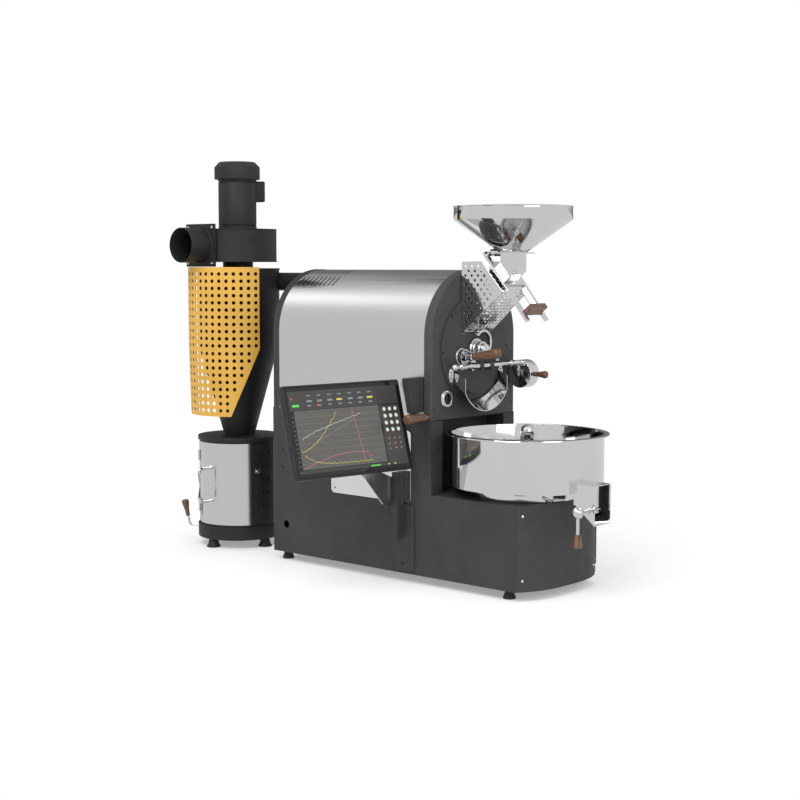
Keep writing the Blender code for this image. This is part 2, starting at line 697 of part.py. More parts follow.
def roasting_drum():
    """The rotating drum: shell, rear disc, mixing vanes, front spider and the long shaft."""
    wall = 2 * MM
    vane_height = 18 * MM
    vanes = 4
    vane_start = 30 * MM
    spider = 100 * MM
    spider_width = 12 * MM
    spider_thickness = 5 * MM
    front_end = -3.5 * MM
    back = DRUM_FRONT + DRUM_LENGTH
    start = DRUM_FRONT
    profile = [(DRUM_RADIUS, start), (DRUM_RADIUS, back), (SHAFT_RADIUS, back), (SHAFT_RADIUS, SHAFT_END),
               (0, SHAFT_END), (0, front_end), (SHAFT_RADIUS, front_end), (SHAFT_RADIUS, back - wall),
               (DRUM_RADIUS - wall, back - wall), (DRUM_RADIUS - wall, start)]
    shapes = [turned(profile, (0, 0, DRUM_HEIGHT), ROUND, "Y")]
    centre = Matrix.Translation((0, 0, DRUM_HEIGHT))
    for angle in angles(vanes):
        vane = box((DRUM_RADIUS - vane_height, DRUM_RADIUS - wall / 2), (start + vane_start, back - wall / 2),
                   (-wall, wall))
        shapes.append(moved(vane, centre @ Matrix.Rotation(angle, 4, "Y")))
    arms = box((SHAFT_RADIUS / 2, DRUM_RADIUS - wall / 2), (spider, spider + spider_thickness),
               (-spider_width / 2, spider_width / 2))
    for angle in angles(3, math.pi / vanes):
        shapes.append(moved(arms.copy(), centre @ Matrix.Rotation(angle, 4, "Y")))
    arms.free()
    make("roasting_drum", PLAIN_STEEL, shapes, (), (0, 0, DRUM_HEIGHT))


def drum_bearing():
    """The rear bearing of the drum's shaft, behind the jacket."""
    low, high = HOUSING_REAR + FIT, HOUSING_REAR + 12 * MM
    profile = [(SHAFT_RADIUS + FIT, low), (BEARING_RADIUS, low), (BEARING_RADIUS, high), (SHAFT_RADIUS + FIT, high)]
    make("drum_bearing", PLAIN_STEEL, [turned(profile, (0, 0, DRUM_HEIGHT), ROUND, "Y")])


def burner():
    """Three burner pipes on a cross pipe under the drum, standing on the shelf."""
    height = 443 * MM
    radius = 6 * MM
    spread = 40 * MM
    front = 60 * MM
    back = 270 * MM
    cross = 8 * MM
    post = 5 * MM
    shapes = [box((-spread - cross, spread + cross), (front - cross, front + cross), (height - cross, height + cross))]
    shapes += [rod((x, front, height), (x, back, height), radius, PIN) for x in (-spread, 0, spread)]
    shapes += [box((x - post, x + post), (y - post, y + post), (COVER_BOTTOM, height))
               for x in (-spread, spread) for y in (front, back - 2 * post)]
    shapes.append(box((-spread - post, spread + post), (back - 3 * post, back - post), (height - post, height)))
    make("burner", PLAIN_STEEL, shapes)


def drum_motor():
    """The gear motor behind the drum, in line with its shaft, on a foot on the shelf."""
    length = 98 * MM
    radius = 38 * MM
    foot_half = 28 * MM
    foot_length = 60 * MM
    inset = 2 * MM
    front = SHAFT_END + FIT
    make("drum_motor", DARK_COAT,
         [rod((0, front, DRUM_HEIGHT), (0, front + length, DRUM_HEIGHT), radius, ROUND),
          box((-foot_half, foot_half), (front + inset, front + foot_length),
              (COVER_BOTTOM, DRUM_HEIGHT - radius / 2))])


# Feeding
GATE_LINE = Vector((0, -math.cos(GATE_SLOPE), -math.sin(GATE_SLOPE)))
GATE_FACE = Vector((0, math.sin(GATE_SLOPE), -math.cos(GATE_SLOPE)))
GATE_ORIGIN = Vector((0, -GATE_FORWARD, GATE_HEIGHT))
THROAT_HALF = 26 * MM
RAIL_INNER = 33 * MM
RAIL_OUTER = 45 * MM


def gate_box(x_range, along_range, face_range):
    """A box set square to the sloping gate: across, down the slope, and through the gate."""
    turn = Matrix((Vector((1, 0, 0)), GATE_LINE, GATE_FACE)).transposed().to_4x4()
    return moved(box(x_range, along_range, face_range), Matrix.Translation(GATE_ORIGIN) @ turn)


def hopper():
    """The green-bean hopper: a short band over a cone that ends in a round collar."""
    spout = 38 * MM
    lip = 3 * MM
    band = HOPPER_TOP - HOPPER_BAND
    profile = [(HOPPER_RADIUS, HOPPER_TOP), (HOPPER_RADIUS, band), (spout, HOPPER_BOTTOM),
               (spout - SHEET, HOPPER_BOTTOM), (HOPPER_RADIUS - SHEET, band + SHEET / 2),
               (HOPPER_RADIUS - SHEET, HOPPER_TOP - lip), (HOPPER_RADIUS - 2 * SHEET, HOPPER_TOP - lip),
               (HOPPER_RADIUS - 2 * SHEET, HOPPER_TOP)]
    make("hopper", BRIGHT_STEEL, [turned(profile, (0, -HOPPER_FORWARD, 0), FINE)])


def gate_frame():
    """The throat under the hopper, its flange, the two rails and the bar behind them."""
    front = -148 * MM
    back = -105 * MM
    step = 807 * MM
    toe = (-122 * MM, 782 * MM)
    heel = (-92.5 * MM, 817.7 * MM)
    collar = 829 * MM
    flange_reach = 38 * MM
    flange_low, flange_high = -4.5 * MM, -0.6 * MM
    rail_low, rail_high = -4.5 * MM, 3.5 * MM
    rail_start, rail_end = -70 * MM, 150 * MM
    bar = 8 * MM
    seat, seat_thickness = 40 * MM, 3 * MM
    top = HOPPER_BOTTOM - FIT
    outer = [(front, top), (front, step), toe, heel, (back, collar), (back, top)]
    inner = [(front + SHEET, top + OVERRUN), (front + SHEET, step), (toe[0], toe[1] - OVERRUN),
             (heel[0] + OVERRUN, heel[1]), (back - SHEET, collar), (back - SHEET, top + OVERRUN)]
    shapes = [prism(outer, "X", -THROAT_HALF, THROAT_HALF),
              box((-seat, seat), (-HOPPER_FORWARD - seat, seat - HOPPER_FORWARD), (top - seat_thickness, top)),
              gate_box((-RAIL_OUTER, RAIL_OUTER), (-flange_reach, flange_reach), (flange_low, flange_high))]
    shapes += [gate_box(span, (rail_start, rail_end), (rail_low, rail_high))
               for span in ((-RAIL_OUTER, -RAIL_INNER), (RAIL_INNER, RAIL_OUTER))]
    shapes.append(gate_box((-RAIL_OUTER, RAIL_OUTER), (rail_start, rail_start + bar), (rail_low, rail_high)))
    below = gate_box((-RAIL_INNER, RAIL_INNER), (rail_start + bar, rail_end + OVERRUN), (flange_high, RAIL_OUTER))
    make("gate_frame", BRIGHT_STEEL, shapes, [prism(inner, "X", SHEET - THROAT_HALF, THROAT_HALF - SHEET), below])


def slide_gate():
    """The flat gate that slides down the rails to let beans through, and its wooden block."""
    plate_half = RAIL_INNER - FIT
    thickness = 2 * MM
    plate_start, plate_end = -36 * MM, 131.5 * MM
    block_half = 32 * MM
    block = 15 * MM
    block_height = 30 * MM
    pin_side = 26 * MM
    pin_drop = 4.5 * MM
    pin = 3 * MM
    pin_start = 50 * MM
    pin_end = 120 * MM
    boss = 5.5 * MM
    side = Vector((pin_side, 0, 0))
    pin_line = GATE_ORIGIN + side + GATE_FACE * pin_drop
    make("slide_gate", BRIGHT_STEEL,
         [gate_box((-plate_half, plate_half), (plate_start, plate_end), (0, thickness)),
          rod(pin_line + GATE_LINE * pin_start, pin_line + GATE_LINE * pin_end, pin, PIN),
          rod(pin_line + GATE_LINE * pin_start, pin_line + GATE_LINE * (pin_start + boss), boss, PIN)], (),
         GATE_ORIGIN)
    make("gate_grip", WALNUT,
         [gate_box((-block_half, block_half), (plate_end - block, plate_end), (-block_height, -FIT))])


def feed_ring(low, high, half):
    """Four corners of the feed chute's section."""
    return [(-half, *low), (half, *low), (half, *high), (-half, *high)]


def feed_chute():
    """The square duct from the gate down into the drum's front plate."""
    reach = 30 * MM
    below = 2.6 * MM
    wall = 2 * MM
    high = GATE_ORIGIN - GATE_LINE * reach + GATE_FACE * below
    low = GATE_ORIGIN + GATE_LINE * reach + GATE_FACE * below
    rings = [feed_ring(low.yz, high.yz, FEED_HALF), feed_ring((MOUNT_FACE, FEED_FOOT), (MOUNT_FACE, FEED_TOP), FEED_HALF)]
    high_in = high + GATE_LINE * wall - GATE_FACE * OVERRUN
    low_in = low - GATE_LINE * wall - GATE_FACE * OVERRUN
    half = FEED_HALF - wall
    hollow = [feed_ring(low_in.yz, high_in.yz, half),
              feed_ring((low - GATE_LINE * wall).yz, (high + GATE_LINE * wall).yz, half),
              feed_ring((MOUNT_FACE, FEED_FOOT + wall), (MOUNT_FACE, FEED_TOP - wall), half),
              feed_ring((OVERRUN, FEED_FOOT + wall), (OVERRUN, FEED_TOP - wall), half)]
    make("feed_chute", SATIN_STEEL, [loft(rings)], [loft(hollow)])


def chute_guard():
    """The folded guard round the feed chute: two pierced cheeks and a slotted underside."""
    half = 58 * MM
    top_back = (MOUNT_FACE, 830.7 * MM)
    top_front = (-67 * MM, 832 * MM)
    nose = (-135 * MM, 757 * MM)
    foot = (MOUNT_FACE, 644 * MM)
    hole = 2.6 * MM
    hole_pitch = 22 * MM
    slot = 3 * MM
    slot_columns, slot_rows = 4, 4
    margin = 12 * MM
    cheek = [top_back, top_front, nose, foot]
    outside = prism(cheek, "X", -half, half)
    slope = Vector((foot[0] - nose[0], foot[1] - nose[1])).normalized()
    up = Vector((-slope.y, slope.x))
    lift = up * THIN_SHEET
    inner = [(MOUNT_FACE + OVERRUN, top_back[1] + OVERRUN), (top_front[0] - OVERRUN, top_front[1] + OVERRUN),
             (nose[0] - OVERRUN, nose[1] + OVERRUN),
             (nose[0] + lift.x - slope.x * OVERRUN, nose[1] + lift.y - slope.y * OVERRUN),
             (foot[0] + lift.x + slope.x * OVERRUN, foot[1] + lift.y + slope.y * OVERRUN)]
    holes = []
    for row in range(9):
        for column in range(8):
            y = MOUNT_FACE - margin - (column + (row % 2) / 2) * hole_pitch
            z = top_back[1] - margin - row * hole_pitch
            if inside(cheek, (y, z), margin * 0.75):
                holes.append(rod((-half - OVERRUN, y, z), (half + OVERRUN, y, z), hole, 4))
    slots = []
    length = (Vector(nose) - Vector(foot)).length
    for row in range(slot_rows):
        for column in range(slot_columns):
            along = length * (row + 1) / (slot_rows + 1)
            x = (column - (slot_columns - 1) / 2) * (2 * half - margin) / slot_columns
            point = Vector(nose) + slope * along
            slots.append(rod((x, *(point - up * OVERRUN)), (x, *(point + up * OVERRUN)), slot, 4))
    make("chute_guard", BRIGHT_STEEL, [outside],
         [prism(inner, "X", THIN_SHEET - half, half - THIN_SHEET), together(holes), together(slots)])


def inside(outline, point, margin):
    """Whether a point lies within a convex outline by at least a margin."""
    spin = 1 if cross(outline[0], outline[1], outline[2]) > 0 else -1
    for first, second in zip(outline, outline[1:] + outline[:1]):
        edge = math.hypot(second[0] - first[0], second[1] - first[1])
        if spin * cross(first, second, point) < margin * edge:
            return False
    return True


# Cooling tray
FLOOR_TOP = TRAY_BOTTOM + SHEET
FLAP_FORWARD = 402 * MM
FLAP_HEIGHT = 227 * MM
CHUTE_LEFT = -58.5 * MM
CHUTE_RIGHT = 11.5 * MM
STIRRER_SHAFT = 8 * MM


def cooling_tray():
    """The round tray with its rim, pierced floor, outlet slot and the shallow air pan below."""
    pan = 160 * MM
    suction = 58 * MM
    rim = 6 * MM
    slot_half = 2 * MM
    rings = ((55 * MM, 90 * MM, 8), (105 * MM, 145 * MM, 12))
    outlet_rise = 14 * MM
    knob_place = Vector((-135 * MM, -155 * MM, 0))
    knob_height = 256 * MM
    knob = 8 * MM
    stem = 3.5 * MM
    pan_bottom = DECK_HEIGHT + FIT
    profile = [(STIRRER_SHAFT + FIT, FLOOR_TOP), (STIRRER_SHAFT + FIT, TRAY_BOTTOM), (pan - SHEET, TRAY_BOTTOM),
               (pan - SHEET, pan_bottom + SHEET), (suction, pan_bottom + SHEET), (suction, pan_bottom),
               (pan, pan_bottom), (pan, TRAY_BOTTOM), (TRAY_RADIUS, TRAY_BOTTOM), (TRAY_RADIUS, TRAY_TOP - SHEET),
               (TRAY_RIM_RADIUS - SHEET, TRAY_TOP - SHEET), (TRAY_RIM_RADIUS - SHEET, TRAY_TOP - rim),
               (TRAY_RIM_RADIUS, TRAY_TOP - rim), (TRAY_RIM_RADIUS, TRAY_TOP), (TRAY_RADIUS - SHEET, TRAY_TOP),
               (TRAY_RADIUS - SHEET, FLOOR_TOP)]
    slots = []
    for low, high, count in rings:
        for angle in angles(count, math.pi / count):
            slot = box((low, high), (-slot_half, slot_half), (TRAY_BOTTOM - SHEET / 2, FLOOR_TOP + SHEET))
            slots.append(moved(slot, Matrix.Translation(TRAY) @ Matrix.Rotation(angle, 4, "Z")))
    outlet = box((CHUTE_LEFT + 2 * SHEET, CHUTE_RIGHT - 2 * SHEET), (-TRAY_FORWARD - BODY_WIDTH, -TRAY_FORWARD - HALF),
                 (FLOOR_TOP, FLOOR_TOP + outlet_rise))
    out = knob_place.normalized()
    lift = Vector((0, 0, knob_height))
    ball = bmesh.new()
    bmesh.ops.create_uvsphere(ball, u_segments=PIN, v_segments=PIN // 2, radius=knob)
    bmesh.ops.translate(ball, vec=TRAY + knob_place + lift, verts=ball.verts[:])
    make("cooling_tray", BRIGHT_STEEL,
         [turned(profile, TRAY, FINE), rod(TRAY + out * (pan - SHEET / 2) + lift, TRAY + knob_place + lift, stem, PIN),
          ball], [together(slots), outlet])


def stirrer():
    """The stirrer: a shaft with a domed cap and three swept arms with paddles near the floor."""
    cap = 17.5 * MM
    cap_bottom = 378 * MM
    cap_shoulder = 408 * MM
    cap_top = 418 * MM
    shaft_bottom = 225 * MM
    arm_height = 305 * MM
    arm_radius = 5 * MM
    hub = 15 * MM
    hub_height = 11 * MM
    reach = 180 * MM
    paddle_start = 70 * MM
    paddle_bottom = 275 * MM
    paddle_turn = math.radians(18)
    profile = [(0, shaft_bottom), (STIRRER_SHAFT, shaft_bottom), (STIRRER_SHAFT, cap_bottom), (cap, cap_bottom),
               (cap, cap_shoulder), (cap * 0.7, cap_top - SHEET), (0, cap_top)]
    collar = rod(TRAY + Vector((0, 0, arm_height - hub_height)), TRAY + Vector((0, 0, arm_height + hub_height)),
                 hub, SMALL)
    shapes = [turned(profile, TRAY, SMALL), collar]
    for angle in angles(3, math.radians(20)):
        place = Matrix.Translation(TRAY) @ Matrix.Rotation(angle, 4, "Z")
        shapes.append(moved(rod((0, 0, arm_height), (reach, 0, arm_height), arm_radius, PIN), place))
        paddle = box((paddle_start, reach - SHEET), (-SHEET / 2, SHEET / 2), (paddle_bottom, arm_height))
        tilt = Matrix.Translation((reach, 0, 0)) @ Matrix.Rotation(paddle_turn / 3, 4, "Z")
        shapes.append(moved(paddle, place @ tilt @ Matrix.Translation((-reach, 0, 0))))
    make("stirrer", BRIGHT_STEEL, shapes, (), TRAY)


def stirrer_motor():
    """The stirrer's gear motor, on a post in the base."""
    motor = 30 * MM
    motor_bottom, motor_top = 140 * MM, 224.7 * MM
    post = 20 * MM
    floor = FOOT_HEIGHT + 3 * MM + FIT
    make("stirrer_motor", DARK_COAT,
         [rod(TRAY + Vector((0, 0, motor_bottom)), TRAY + Vector((0, 0, motor_top)), motor, ROUND),
          box((-post, post), (-TRAY_FORWARD - post, -TRAY_FORWARD + post), (floor, motor_bottom + SHEET))])


def tray_chute():
    """The box chute on the tray's front: sloping floor, open mouth, trimmed to the tray's wall."""
    top = 289 * MM
    mouth = -421.5 * MM
    lip = 190.7 * MM
    back = -360 * MM
    inner_back = -372 * MM
    knee = (-366 * MM, 237 * MM)
    slope = (knee[1] - lip) / (knee[0] - mouth)
    rise = SHEET * math.hypot(1, slope)
    far = mouth - 2 * OVERRUN
    outer = [(back, top), (mouth, top), (mouth, lip), knee, (back, knee[1])]
    inner = [(back + OVERRUN, top - SHEET), (far, top - SHEET), (far, lip + rise - slope * 2 * OVERRUN),
             (inner_back, knee[1] + rise - slope * (knee[0] - inner_back)), (inner_back, FLOOR_TOP),
             (back + OVERRUN, FLOOR_TOP)]
    tray = rod(TRAY, TRAY + Vector((0, 0, BODY_TOP)), TRAY_RADIUS + FIT, FINE)
    shaft = rod((-HALF, -FLAP_FORWARD, FLAP_HEIGHT), (HALF, -FLAP_FORWARD, FLAP_HEIGHT), FLAP_SHAFT + FIT, SMALL)
    make("tray_chute", BRIGHT_STEEL, [prism(outer, "X", CHUTE_LEFT, CHUTE_RIGHT)],
         [prism(inner, "X", CHUTE_LEFT + SHEET, CHUTE_RIGHT - SHEET), tray, shaft])


FLAP_SHAFT = 4 * MM


def tray_flap():
    """The flap in the tray chute on its shaft, worked by a hanging lever with a wooden grip."""
    knob = 14.5 * MM
    knob_side = -100.5 * MM
    lever = 4.5 * MM
    lever_bottom = 174.5 * MM
    grip_bottom = 141.5 * MM
    plate_top = 284 * MM
    plate_bottom = 217 * MM
    clearance = 2 * MM
    end = CHUTE_RIGHT + clearance
    pivot = (0, -FLAP_FORWARD, FLAP_HEIGHT)
    ball = bmesh.new()
    bmesh.ops.create_uvsphere(ball, u_segments=SMALL, v_segments=PIN, radius=knob)
    bmesh.ops.translate(ball, vec=(knob_side, -FLAP_FORWARD, FLAP_HEIGHT), verts=ball.verts[:])
    make("tray_flap", BRIGHT_STEEL,
         [box((CHUTE_LEFT + SHEET + clearance, CHUTE_RIGHT - SHEET - clearance),
              (-FLAP_FORWARD - SHEET / 2, SHEET / 2 - FLAP_FORWARD), (plate_bottom, plate_top)),
          rod((knob_side, -FLAP_FORWARD, FLAP_HEIGHT), (end, -FLAP_FORWARD, FLAP_HEIGHT), FLAP_SHAFT, PIN), ball,
          rod((knob_side, -FLAP_FORWARD, FLAP_HEIGHT), (knob_side, -FLAP_FORWARD, lever_bottom), lever, PIN)],
         (), pivot)
    wood_grip("flap_grip", (knob_side, -FLAP_FORWARD, lever_bottom - FIT),
              (knob_side, -FLAP_FORWARD, grip_bottom), knob * 0.7, knob * 0.85)


# Display
SCREEN_ACROSS = Vector((math.cos(SCREEN_TURN), math.sin(SCREEN_TURN), 0))
SCREEN_BACK = (Matrix.Rotation(SCREEN_TURN, 3, "Z") @ Matrix.Rotation(-SCREEN_LEAN, 3, "X")) @ Vector((0, 1, 0))
SCREEN_MATRIX = (Matrix.Translation(SCREEN_PLACE) @ Matrix.Rotation(SCREEN_TURN, 4, "Z")
                 @ Matrix.Rotation(-SCREEN_LEAN, 4, "X"))
TILT_BEHIND = 52 * MM
TILT_BARREL = 8 * MM
TILT_HALF = 25 * MM
TILT_PIVOT = SCREEN_PLACE + SCREEN_BACK * TILT_BEHIND


def screen():
    """The display housing with a pocket for its glass and two lugs for the tilt pin."""
    edge = 5 * MM
    pocket = 2 * MM
    lug = 7 * MM
    lug_start = TILT_HALF + FIT
    ear = 11 * MM
    vent_pitch = 9 * MM
    vent = 2 * MM
    width, height = SCREEN_WIDTH / 2, SCREEN_HEIGHT / 2
    cabinet = box((-width, width), (0, SCREEN_THICKNESS), (-height, height))
    bmesh.ops.bevel(cabinet, geom=[e for e in cabinet.edges if abs(e.verts[0].co.y - e.verts[1].co.y) > pocket],
                    offset=edge, segments=3, profile=0.5, affect="EDGES")
    shapes = [moved(cabinet, SCREEN_MATRIX)]
    lug_outline = hull(circle((TILT_BEHIND, 0), ear, SMALL)
                       + [(SCREEN_THICKNESS - pocket, -2 * ear), (SCREEN_THICKNESS - pocket, 2 * ear)])
    for x in (lug_start, -lug_start - lug):
        shapes.append(moved(prism(lug_outline, "X", x, x + lug), SCREEN_MATRIX))
    window = moved(box((edge - width, width - edge), (-pocket, pocket), (edge - height, height - edge)), SCREEN_MATRIX)
    pin = rod(TILT_PIVOT - SCREEN_ACROSS * width, TILT_PIVOT + SCREEN_ACROSS * width, TILT_PIN + FIT, SMALL)
    make("screen", DARK_COAT, shapes, [window, pin], TILT_PIVOT)
    glass = box((edge + FIT - width, width - edge - FIT), (vent / 10, pocket - FIT), (edge + FIT - height, height - edge - FIT))
    make("screen_glass", GLASS_BLACK, [moved(glass, SCREEN_MATRIX)], (), TILT_PIVOT)


TILT_PIN = 4 * MM
ARM_BACK = 107 * MM


def screen_arm():
    """The bent arm plate from the post up behind the display, ending in the tilt barrel."""
    thickness = 4 * MM
    lower = [(-318 * MM, 296 * MM), (-250 * MM, 296 * MM), (-200.6 * MM, 276 * MM), (-200.6 * MM, 208 * MM),
             (-241 * MM, 212 * MM)]
    upper_left, upper_right = -386 * MM, -352 * MM
    upper_height = 399 * MM
    upper_back = 142 * MM
    reach = TILT_HALF + 12 * MM
    bottom = [(lower[0][0], ARM_BACK - thickness), (lower[1][0], ARM_BACK - thickness), (lower[1][0], ARM_BACK),
              (lower[0][0], ARM_BACK)]
    top = [(upper_left, upper_back - thickness), (upper_right, upper_back - thickness), (upper_right, upper_back),
           (upper_left, upper_back)]
    start = lower[0][1] - thickness
    riser = loft([[(x, y, start) for x, y in bottom], [(x, y, upper_height) for x, y in top]])
    make("screen_arm", BLACK_COAT,
         [prism(lower, "Y", ARM_BACK - thickness, ARM_BACK), riser,
          rod(TILT_PIVOT - SCREEN_ACROSS * TILT_HALF, TILT_PIVOT + SCREEN_ACROSS * TILT_HALF, TILT_BARREL, ROUND),
          rod(TILT_PIVOT - SCREEN_ACROSS * reach, TILT_PIVOT + SCREEN_ACROSS * reach, TILT_PIN, SMALL)])


def screen_foot():
    """The foot plate on the left side panel, with the post and tab that carry the arm."""
    plate = 3 * MM
    corner = 8 * MM
    low, high = (55 * MM, 30 * MM), (127 * MM, 206 * MM)
    screws = ((93 * MM, 50 * MM), (83 * MM, 176.5 * MM))
    screw = 3 * MM
    post_y = (90 * MM, 110 * MM)
    post_z = (120 * MM, 290 * MM)
    post_face = -200 * MM
    tab = 3 * MM
    tab_reach = 22 * MM
    tab_z = (206 * MM, 278 * MM)
    face = -HALF - FIT
    holes = [rod((face - plate - OVERRUN, y, z), (face + OVERRUN, y, z), screw, PIN) for y, z in screws]
    make("screen_foot", BLACK_COAT,
         [prism(rounded(low, high, corner), "X", face - plate, face),
          box((post_face, face - SHEET - 2 * FIT), post_y, post_z),
          box((post_face / 2 + face / 2, face - plate / 2), post_y, (post_z[0], high[1] - FIT)),
          box((post_face - tab_reach, post_face + tab), (ARM_BACK + FIT, ARM_BACK + FIT + tab), tab_z)], holes)


def service_plate():
    """The bare polished plate on the left side panel."""
    low, high = (67 * MM, 211 * MM), (352 * MM, 398 * MM)
    corner = 12 * MM
    make("service_plate", BRIGHT_STEEL,
         [prism(rounded(low, high, corner), "X", -HALF - FIT - SHEET, -HALF - FIT)])


# Cyclone
def exhaust_pipe():
    """The smoke pipe: up out of the drum's jacket, round a bend and back into the cyclone's side."""
    outlet_back = 240 * MM
    bend = 34 * MM
    steps = 3
    start = DRUM_HEIGHT + HOUSING_RADIUS - 10 * MM
    centre = (outlet_back + bend, EXHAUST_HEIGHT - bend)
    curve = [(EXHAUST_SIDE, centre[0] - bend * math.cos(a), centre[1] + bend * math.sin(a))
             for a in [math.pi / 2 * index / steps for index in range(steps + 1)]]
    path = [(EXHAUST_SIDE, outlet_back, start)] + curve + [(EXHAUST_SIDE, CYCLONE_BACK, EXHAUST_HEIGHT)]
    inner = ([(EXHAUST_SIDE, outlet_back, start - OVERRUN)] + curve
             + [(EXHAUST_SIDE, CYCLONE_BACK + OVERRUN, EXHAUST_HEIGHT)])
    jacket = rod((0, 0, DRUM_HEIGHT), (0, BODY_DEPTH, DRUM_HEIGHT), HOUSING_RADIUS + FIT, FINE)
    cyclone_body = rod(CYCLONE, CYCLONE + Vector((0, 0, BODY_TOP * 2)), CYCLONE_RADIUS + FIT, FINE)
    make("exhaust_pipe", PLAIN_STEEL, [swept(path, EXHAUST_RADIUS, ROUND)],
         [swept(inner, EXHAUST_RADIUS - THIN_SHEET, ROUND), jacket, cyclone_body])


FINDER_RADIUS = 42 * MM


def cyclone():
    """The cyclone: cylinder, cone, the outlet tube inside, and the lid it stands on."""
    finder = FINDER_RADIUS
    finder_end = CYCLONE_TOP - 120 * MM
    lid_bottom = 305 * MM
    seat = COLLECTOR_RADIUS - 4 * MM
    wall = CYCLONE_RADIUS - SHEET
    profile = [(CYCLONE_RADIUS, CYCLONE_TOP), (finder - SHEET, CYCLONE_TOP), (finder - SHEET, finder_end),
               (finder, finder_end), (finder, CYCLONE_TOP - SHEET), (wall, CYCLONE_TOP - SHEET), (wall, CONE_TOP),
               (CONE_RADIUS - SHEET, LID_TOP - SHEET), (seat, LID_TOP - SHEET), (seat, lid_bottom),
               (LID_RADIUS, lid_bottom), (LID_RADIUS, LID_TOP), (CONE_RADIUS, LID_TOP), (CYCLONE_RADIUS, CONE_TOP)]
    inlet = rod((EXHAUST_SIDE, CYCLONE_BACK - BODY_WIDTH, EXHAUST_HEIGHT), (EXHAUST_SIDE, CYCLONE_BACK, EXHAUST_HEIGHT),
                EXHAUST_RADIUS - THIN_SHEET, ROUND)
    make("cyclone", DARK_COAT, [turned(profile, CYCLONE, FINE)], [inlet])


GUARD_RADIUS = 146 * MM
GUARD_PITCH = math.radians(8.47)
GUARD_COLUMNS = 17
GUARD_TOP = 816.5 * MM
GUARD_FOLD = 582.5 * MM
GUARD_BOTTOM = 388 * MM
GUARD_ROW = 20.5 * MM
GUARD_FIRST = 19.5 * MM
GUARD_HOLE = 4.6 * MM
GUARD_TAPER = 5 * MM


def guard_point(column, height):
    """A point on the guard: a column's edge at a height; the lower part tapers slightly."""
    angle = math.pi + (column - GUARD_COLUMNS / 2) * GUARD_PITCH
    taper = GUARD_TAPER * max(0, (GUARD_FOLD - height) / (GUARD_FOLD - GUARD_BOTTOM))
    radius = GUARD_RADIUS - taper
    return CYCLONE + Vector((radius * math.cos(angle), radius * math.sin(angle), height))


def pierced_panel(shape, column, top, lows, heights):
    """One flat column of the guard between two heights, with its holes left open."""
    corners = [guard_point(column, lows[0]), guard_point(column + 1, lows[1]),
               guard_point(column + 1, top), guard_point(column, top)]
    across = (corners[2] - corners[3]).normalized()
    sides = 4
    rims = []
    for height in heights:
        middle = (guard_point(column, height) + guard_point(column + 1, height)) / 2
        up = ((guard_point(column, height + GUARD_ROW / 2) + guard_point(column + 1, height + GUARD_ROW / 2)) / 2
              - middle).normalized()
        rims.append([middle + (across * math.cos(a) + up * math.sin(a)) * GUARD_HOLE for a in angles(sides)])
    edges = []
    for outline in [corners] + rims:
        points = [shape.verts.new(point) for point in outline]
        edges += [shape.edges.new((a, b)) for a, b in zip(points, points[1:] + points[:1])]
    bmesh.ops.triangle_fill(shape, use_beauty=True, use_dissolve=False, edges=edges)


def cyclone_guard():
    """The pierced heat guard round the cyclone's outer side: a drum part over a slanted skirt.

    Every column is a flat facet filled round its holes; the sheet's inner side is then drawn
    inwards, so that the holes get walls and the guard becomes one closed sheet.
    """
    upper_rows, lower_rows = 11, 9
    lower_first = 22.7 * MM
    last_upper = GUARD_TOP - GUARD_FIRST - (upper_rows - 1) * GUARD_ROW
    missing = 4
    stand = 6 * MM
    shape = bmesh.new()
    for column in range(GUARD_COLUMNS):
        heights = [GUARD_TOP - GUARD_FIRST - row * GUARD_ROW for row in range(upper_rows)]
        pierced_panel(shape, column, GUARD_TOP, (GUARD_FOLD, GUARD_FOLD), heights)
    skirt = GUARD_COLUMNS - missing
    for column in range(GUARD_COLUMNS):
        lows = []
        for line in (column, column + 1):
            share = max(0, line - skirt) / missing
            lows.append(GUARD_BOTTOM + (GUARD_FOLD - GUARD_BOTTOM) * share)
        heights = [last_upper - lower_first - row * GUARD_ROW for row in range(lower_rows)]
        heights = [h for h in heights if h - GUARD_ROW / 2 > max(lows)]
        if max(lows) < GUARD_FOLD:
            pierced_panel(shape, column, GUARD_FOLD, lows, heights)
        elif min(lows) < GUARD_FOLD:
            points = [guard_point(column, lows[0]), guard_point(column + 1, GUARD_FOLD),
                      guard_point(column, GUARD_FOLD)]
            shape.faces.new([shape.verts.new(point) for point in points])
    tidy(shape)
    outside = shape.faces[:]
    made = bmesh.ops.extrude_face_region(shape, geom=outside, use_keep_orig=True)
    for vertex in [item for item in made["geom"] if isinstance(item, bmesh.types.BMVert)]:
        arm = vertex.co - CYCLONE
        scale = 1 - THIN_SHEET / math.hypot(arm.x, arm.y)
        vertex.co = CYCLONE + Vector((arm.x * scale, arm.y * scale, arm.z))
    bmesh.ops.recalc_face_normals(shape, faces=shape.faces[:])
    inner = GUARD_RADIUS - THIN_SHEET * 0.6
    posts = []
    for column in (-4.5, 4.5):
        angle = math.pi + column * GUARD_PITCH
        along = Vector((math.cos(angle), math.sin(angle), 0))
        for height in (GUARD_TOP - GUARD_FIRST - GUARD_ROW * 1.5, last_upper + GUARD_ROW / 2):
            lift = CYCLONE + Vector((0, 0, height))
            posts.append(rod(lift + along * (CYCLONE_RADIUS + FIT), lift + along * inner, stand / 2, PIN))
    make("cyclone_guard", YELLOW_COAT, [shape] + posts)


FAN_BOTTOM = 831 * MM
FAN_TOP = 927 * MM
FAN_RADIUS = 115 * MM
OUTLET_SIDE = -182.5 * MM
OUTLET_BACK = 868 * MM
OUTLET_HEIGHT = 879 * MM
OUTLET_HALF = 61.5 * MM
OUTLET_BORE = 48 * MM
FAN_SHAFT = 6 * MM


